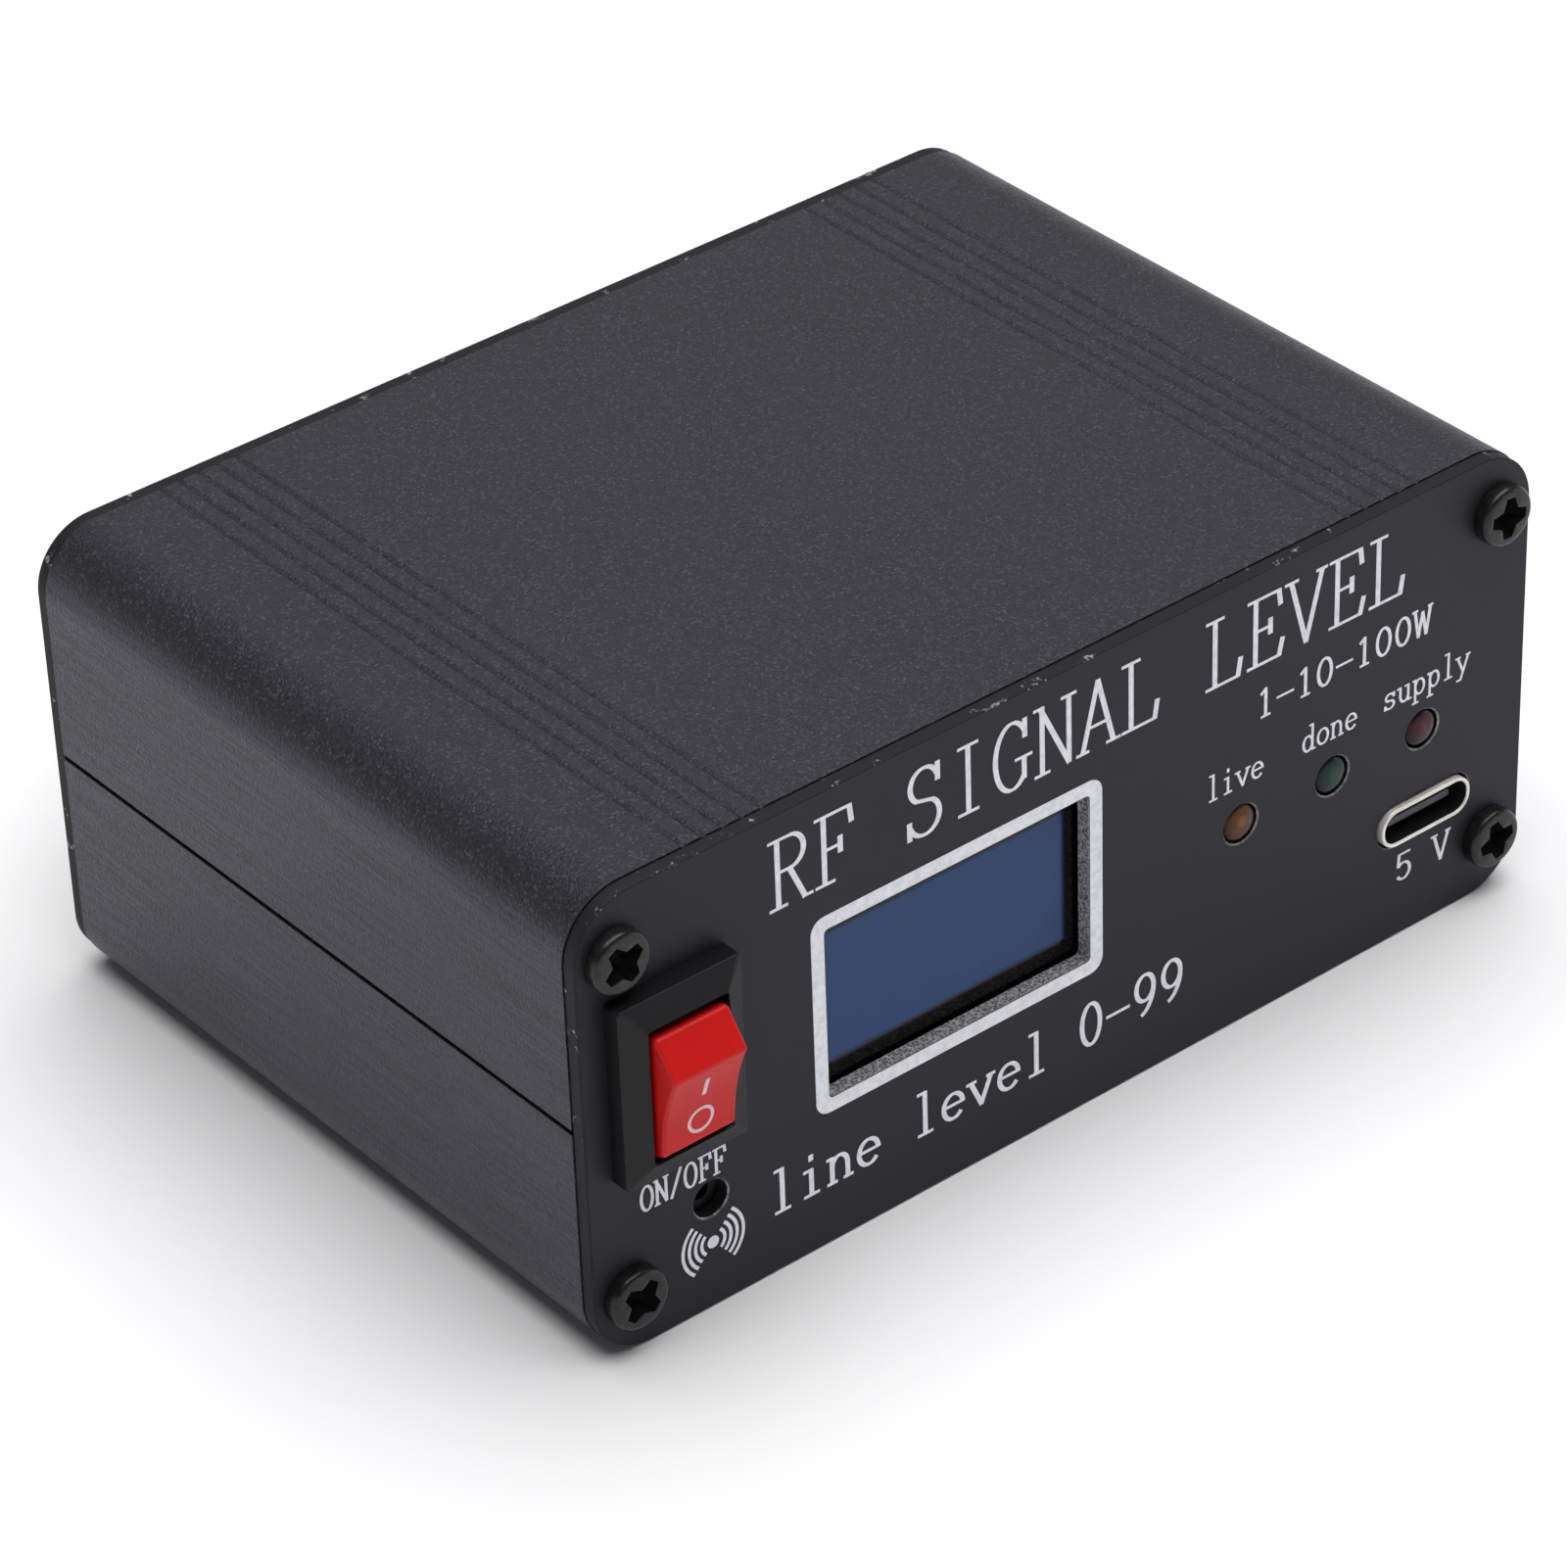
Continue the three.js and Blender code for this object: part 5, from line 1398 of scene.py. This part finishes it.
class METER_OT_sockets(bpy.types.Operator):
    """Builds the coaxial sockets with threaded barrels"""

    bl_idname = "meter.sockets"
    bl_label = "Coaxial Sockets"

    def execute(self, context):
        sizes = context.scene.meter_socket
        nickel = metal_finish("socket_nickel", (0.58, 0.565, 0.54), 0.27, scratch=0.5, relief=0.001)
        ptfe = moulded_finish("socket_ptfe", (0.80, 0.79, 0.74), 0.5, 0.35, 0.3, 0.01)
        gold = metal_finish("socket_gold", (0.83, 0.6, 0.26), 0.28)
        for name in SOCKETS:
            self.body(f"{name}_socket_body", sizes, nickel)
            self.insulator(f"{name}_socket_insulator", ptfe)
            self.contact(f"{name}_socket_contact", gold)
        return {"FINISHED"}

    def body(self, node, sizes, finish):
        low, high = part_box(node)
        spot, size = (low + high) / 2, high - low
        shape = Shape()
        front = low.y + sizes.flange
        flange = growing_box(spot.x, spot.z, size.x, size.z, 1.2 * MM, 12)
        steps = 96
        screw_reach, screw_hole, rim = 9.1 * MM, 1.4 * MM, 0.2 * MM
        rows = [flange(-rim), flange(0), flange(0), flange(-rim)]
        depths = [low.y, low.y + rim, front - rim, front]
        loops = [shape.loop(row, depth) for row, depth in zip(rows, depths)]
        shape.band(loops)
        backs, fronts = [loops[0]], [loops[-1]]
        for x in (-screw_reach, screw_reach):
            for z in (-screw_reach, screw_reach):
                hole = circle(spot.x + x, spot.z + z, screw_hole, 24)
                pair = [shape.loop(hole, low.y), shape.loop(hole, front)]
                shape.band(pair)
                backs.append(pair[0])
                fronts.append(pair[1])
        radius, inner, mouth, fillet = sizes.barrel, 5.55 * MM, sizes.bore, 0.35 * MM
        barrel = [shape.loop(circle(spot.x, spot.z, radius + fillet, steps), front)]
        barrel.append(shape.loop(circle(spot.x, spot.z, radius, steps), front + fillet))
        barrel += self.thread(shape, spot, sizes, front + 0.9 * MM, high.y - 0.7 * MM, steps)
        crown = [(radius - 0.45 * MM, high.y - 0.25 * MM), (radius - 0.7 * MM, high.y)]
        crown += [(mouth + 0.25 * MM, high.y), (mouth, high.y - 0.3 * MM), (mouth, high.y - sizes.collar)]
        crown += [(inner, high.y - sizes.collar), (inner, low.y)]
        for along_radius, depth in crown:
            barrel.append(shape.loop(circle(spot.x, spot.z, along_radius, steps), depth))
        end_loops = barrel[-6:-4]
        self.notch(end_loops, spot, sizes.notch)
        shape.band(barrel)
        shape.lid([*fronts, barrel[0]])
        shape.lid([*backs, barrel[-1]])
        piece(f"{node}_shell", shape.made(node), [finish], [node], "nickel", sharp=28)

    def thread(self, shape, spot, sizes, start, end, steps):
        """Loops along the barrel whose radius follows a screw thread that fades out at its ends."""
        loops_per_turn, fade_length, flank = 10, 0.8 * MM, 0.8
        count = round((end - start) / sizes.thread_pitch * loops_per_turn)
        loops = []
        for k in range(count + 1):
            depth = start + (end - start) * k / count
            fade = min(1.0, (depth - start) / fade_length, (end - depth) / fade_length)
            points = []
            for i in range(steps):
                turn = i / steps
                phase = ((depth - start) / sizes.thread_pitch - turn) % 1.0
                dip = sizes.thread_depth * fade * (1 - abs(2 * phase - 1)) ** flank
                radius = sizes.barrel - max(0.0, dip)
                way = 2 * math.pi * turn
                points.append((spot.x + radius * math.cos(way), spot.z + radius * math.sin(way)))
            loops.append(shape.loop(points, depth))
        return loops

    def notch(self, loops, spot, depth):
        """Sinks four notches, at the diagonals, into the barrel's end."""
        half_angle = 6
        for loop in loops:
            for corner in loop:
                turn = math.degrees(math.atan2(corner.co.z - spot.z, corner.co.x - spot.x)) % 90
                if abs(turn - 45) < half_angle:
                    corner.co.y -= depth

    def insulator(self, node, finish):
        low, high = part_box(node)
        spot = (low + high) / 2
        outer, inner = 5.45 * MM, 2.6 * MM
        back_edge, front_edge, dish = 0.2 * MM, 0.15 * MM, 0.3 * MM
        shape = Shape()
        profile = [
            (inner, low.y),
            (outer - back_edge, low.y),
            (outer, low.y + back_edge),
            (outer, high.y - front_edge),
            (outer - front_edge, high.y),
            (inner + 3 * dish, high.y),
            (inner + 2.5 * dish, high.y - dish),
            (inner, high.y - dish),
            (inner, low.y),
        ]
        shape.turned(profile, spot.x, spot.z, 64)
        bmesh.ops.remove_doubles(shape.mesh, verts=shape.mesh.verts, dist=0.001 * MM)
        piece(f"{node}_turning", shape.made(node), [finish], [node], "ivory_insulator")

    def contact(self, node, finish):
        low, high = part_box(node)
        spot = (low + high) / 2
        thick, bore, cup, cup_bore = 2.5 * MM, 2.05 * MM, 1.8 * MM, 1.2 * MM
        waist, cup_floor, edge = low.y + 3.5 * MM, low.y + 1.5 * MM, 0.2 * MM
        profile = [
            (0.0, cup_floor),
            (cup_bore, cup_floor),
            (cup_bore, low.y),
            (cup, low.y),
            (cup, waist),
            (thick, waist + edge),
            (thick, high.y - edge),
            (thick - 0.15 * MM, high.y),
            (bore + edge / 2, high.y),
            (bore, high.y - edge),
            (bore, high.y - 9 * MM),
            (0.0, high.y - 9.6 * MM),
        ]
        shape = Shape()
        shape.turned(profile, spot.x, spot.z, 40)
        tool = Shape()
        slit, reach, slit_length = 0.22 * MM, thick * 1.2, 5 * MM
        for turn in (0, math.pi / 2):
            ends = [(reach, slit), (-reach, slit), (-reach, -slit), (reach, -slit)]
            c, s = math.cos(turn), math.sin(turn)
            outline = [(spot.x + c * x - s * z, spot.z + s * x + c * z) for x, z in ends]
            loops = [tool.loop(outline, depth) for depth in (high.y - slit_length, high.y + MM)]
            tool.band(loops)
            tool.lid([loops[0]])
            tool.lid([loops[1]])
        data = cut_away(shape.made(node), tool.made("slits"), [finish])
        piece(f"{node}_tulip", data, [finish], [node], "gold_contact")


class METER_OT_inside(bpy.types.Operator):
    """Gives the buzzer and the pieces inside the case their finishes"""

    bl_idname = "meter.inside"
    bl_label = "Inside Pieces"

    def execute(self, context):
        board = board_finish()
        chip = moulded_finish("chip_epoxy", (0.02, 0.02, 0.021), 0.5)
        brass = metal_finish("switch_brass", (0.7, 0.5, 0.22), 0.3)
        spring = metal_finish("spring_steel", (0.6, 0.6, 0.61), 0.28)
        enamel = metal_finish("enamelled_copper", (0.6, 0.2, 0.07), 0.3)
        finishes = {
            "common_terminal": brass,
            "load_terminal": brass,
            "contact_blade": brass,
            "switch_plunger": brass,
            "through_line": brass,
            "plunger_spring": spring,
            "display_board": board,
            "main_board": board,
            "display_header": chip,
            "controller_chip": chip,
            "charge_chip": chip,
            "display_ribbon": moulded_finish("ribbon_sheath", (0.36, 0.36, 0.38), 0.5),
            "buzzer": moulded_finish("buzzer_shell", (0.012, 0.012, 0.012), 0.5),
            "cell_pad": moulded_finish("foam_tape", (0.74, 0.74, 0.72), 0.9, 0.2, 0.4, 0.08),
            "cell": metal_finish("cell_foil", (0.6, 0.62, 0.64), 0.4, scratch=0.8, relief=0.02),
            "forward_core": moulded_finish("ferrite", (0.05, 0.05, 0.053), 0.7, 0.3, 0.3, 0.02),
            "forward_winding": enamel,
            "cell_wire_red": moulded_finish("wire_sheath_red", (0.42, 0.012, 0.012), 0.45),
            "cell_wire_black": moulded_finish("wire_sheath_black", (0.012, 0.012, 0.012), 0.45),
        }
        finishes["reflected_core"] = finishes["forward_core"]
        finishes["reflected_winding"] = enamel
        finishes["switch_wire_red"] = finishes["cell_wire_red"]
        finishes["switch_wire_black"] = finishes["cell_wire_black"]
        for node, finish in finishes.items():
            obj = frame["nodes"][node]
            for slot in obj.material_slots:
                slot.link = "OBJECT"
                slot.material = finish
            weld = obj.modifiers.new("welded", "WELD")
            weld.merge_threshold = 0.001 * MM
        return {"FINISHED"}


class METER_OT_stage(bpy.types.Operator):
    """Sets the pale floor, the studio lights and the camera"""

    bl_idname = "meter.stage"
    bl_label = "Stage"

    def execute(self, context):
        scene = context.scene
        settings = scene.meter_stage
        self.floor(settings)
        self.camera(scene, settings)
        self.lights(scene, settings)
        scene.view_settings.view_transform = "Standard"
        return {"FINISHED"}

    def floor(self, settings):
        width, corner = 60, 10
        shape = Shape()
        shape.mesh.faces.new(shape.loop(round_box(0, 0, width, width, corner, 8), 0, flat_down))
        data = shape.made("floor")
        data.materials.append(floor_finish(tuple(settings.floor)))
        obj = bpy.data.objects.new("studio_floor", data)
        bpy.context.scene.collection.objects.link(obj)

    def camera(self, scene, settings):
        data = bpy.data.cameras.new("camera")
        data.lens = settings.focal
        data.sensor_width = 36
        data.clip_start, data.clip_end = 0.01, 20
        obj = bpy.data.objects.new("camera", data)
        scene.collection.objects.link(obj)
        case = middle("upper_shell")
        target = Vector((case.x, case.y, PLATE_MIDDLE.z))
        # The camera's place from the target, then the ways that it looks and that its picture stands.
        away = Vector((-0.24159, -0.30399, 0.260535))
        ahead = Vector((0.51099136, 0.64600458, -0.56706783))
        up = Vector((0.3809898, 0.42115142, 0.82309067))
        right = ahead.cross(up)
        turned = Matrix((right, up, -ahead)).transposed().to_4x4()
        obj.matrix_world = Matrix.Translation(target + away) @ turned
        scene.camera = obj

    def lights(self, scene, settings):
        self.surroundings(scene, settings)
        softness, lean = math.radians(64), math.radians(6)
        overhead = bpy.data.lights.new("overhead_dome", "SUN")
        overhead.angle = softness
        overhead.energy = settings.overhead
        obj = bpy.data.objects.new("overhead_dome", overhead)
        obj.rotation_euler = (0, lean, 0)
        scene.collection.objects.link(obj)
        # Each softbox's place, size, power and tint; both look at the middle of the underside.
        softboxes = (
            ("back_softbox", (0.82, 1.03, 0.9), 1.1, 1.3, (0.97, 0.98, 1)),
            ("right_softbox", (1.3, -0.75, 0.35), 0.5, 1.2, (1, 1, 1)),
        )
        for name, place, size, power, tint in softboxes:
            data = bpy.data.lights.new(name, "AREA")
            data.shape = "SQUARE"
            data.size = size
            data.energy = power
            data.color = tint
            obj = bpy.data.objects.new(name, data)
            obj.location = place
            obj.rotation_mode = "QUATERNION"
            obj.rotation_quaternion = (-Vector(place)).to_track_quat("-Z", "Y")
            scene.collection.objects.link(obj)

    def surroundings(self, scene, settings):
        """A dim room whose walls are pale near the floor."""
        world = bpy.data.worlds.new("surroundings")
        world.use_nodes = True
        tree = world.node_tree
        back = tree.nodes["Background"]
        back.inputs["Color"].default_value = (0.95, 0.96, 1.0, 1)
        split = tree.nodes.new("ShaderNodeSeparateXYZ")
        fade = tree.nodes.new("ShaderNodeMapRange")
        horizon = {"From Min": 0.05, "From Max": 0.24, "To Min": 1.0, "To Max": settings.sky}
        for key, value in horizon.items():
            fade.inputs[key].default_value = value
        tree.links.new(tree.nodes.new("ShaderNodeTexCoord").outputs["Generated"], split.inputs["Vector"])
        tree.links.new(split.outputs["Z"], fade.inputs["Value"])
        tree.links.new(fade.outputs["Result"], back.inputs["Strength"])
        scene.world = world


# ------------------------------------------------------------------ panel and registration

BUILDERS = (
    METER_OT_stage,
    METER_OT_case,
    METER_OT_plates,
    METER_OT_print,
    METER_OT_screws,
    METER_OT_switch,
    METER_OT_display,
    METER_OT_lamps,
    METER_OT_port,
    METER_OT_sockets,
    METER_OT_inside,
)

GROUPS = {
    "meter_case": CaseSizes,
    "meter_plate": PlateSizes,
    "meter_print": PrintSettings,
    "meter_screw": ScrewSizes,
    "meter_switch": SwitchSizes,
    "meter_display": DisplaySizes,
    "meter_lamp": LampColours,
    "meter_socket": SocketSizes,
    "meter_stage": StageSettings,
}


class METER_PT_build(bpy.types.Panel):
    """Lists the operators that build the meter, and the sizes that they use"""

    bl_idname = "METER_PT_build"
    bl_label = "Bench SWR Meter"
    bl_space_type = "VIEW_3D"
    bl_region_type = "UI"
    bl_category = "Meter"

    def draw(self, context):
        for builder in BUILDERS:
            self.layout.operator(builder.bl_idname)
        for key, group in GROUPS.items():
            box = self.layout.box()
            for name in group.__annotations__:
                box.prop(getattr(context.scene, key), name)


def register():
    for kind in (*GROUPS.values(), *BUILDERS, METER_PT_build):
        bpy.utils.register_class(kind)
    for key, group in GROUPS.items():
        setattr(bpy.types.Scene, key, PointerProperty(type=group))


def unregister():
    for key in GROUPS:
        delattr(bpy.types.Scene, key)
    for kind in (METER_PT_build, *reversed(BUILDERS), *reversed(list(GROUPS.values()))):
        bpy.utils.unregister_class(kind)


def main():
    register()
    for builder in BUILDERS:
        family, name = builder.bl_idname.split(".")
        getattr(getattr(bpy.ops, family), name)()


if __name__ == "__main__":
    main()
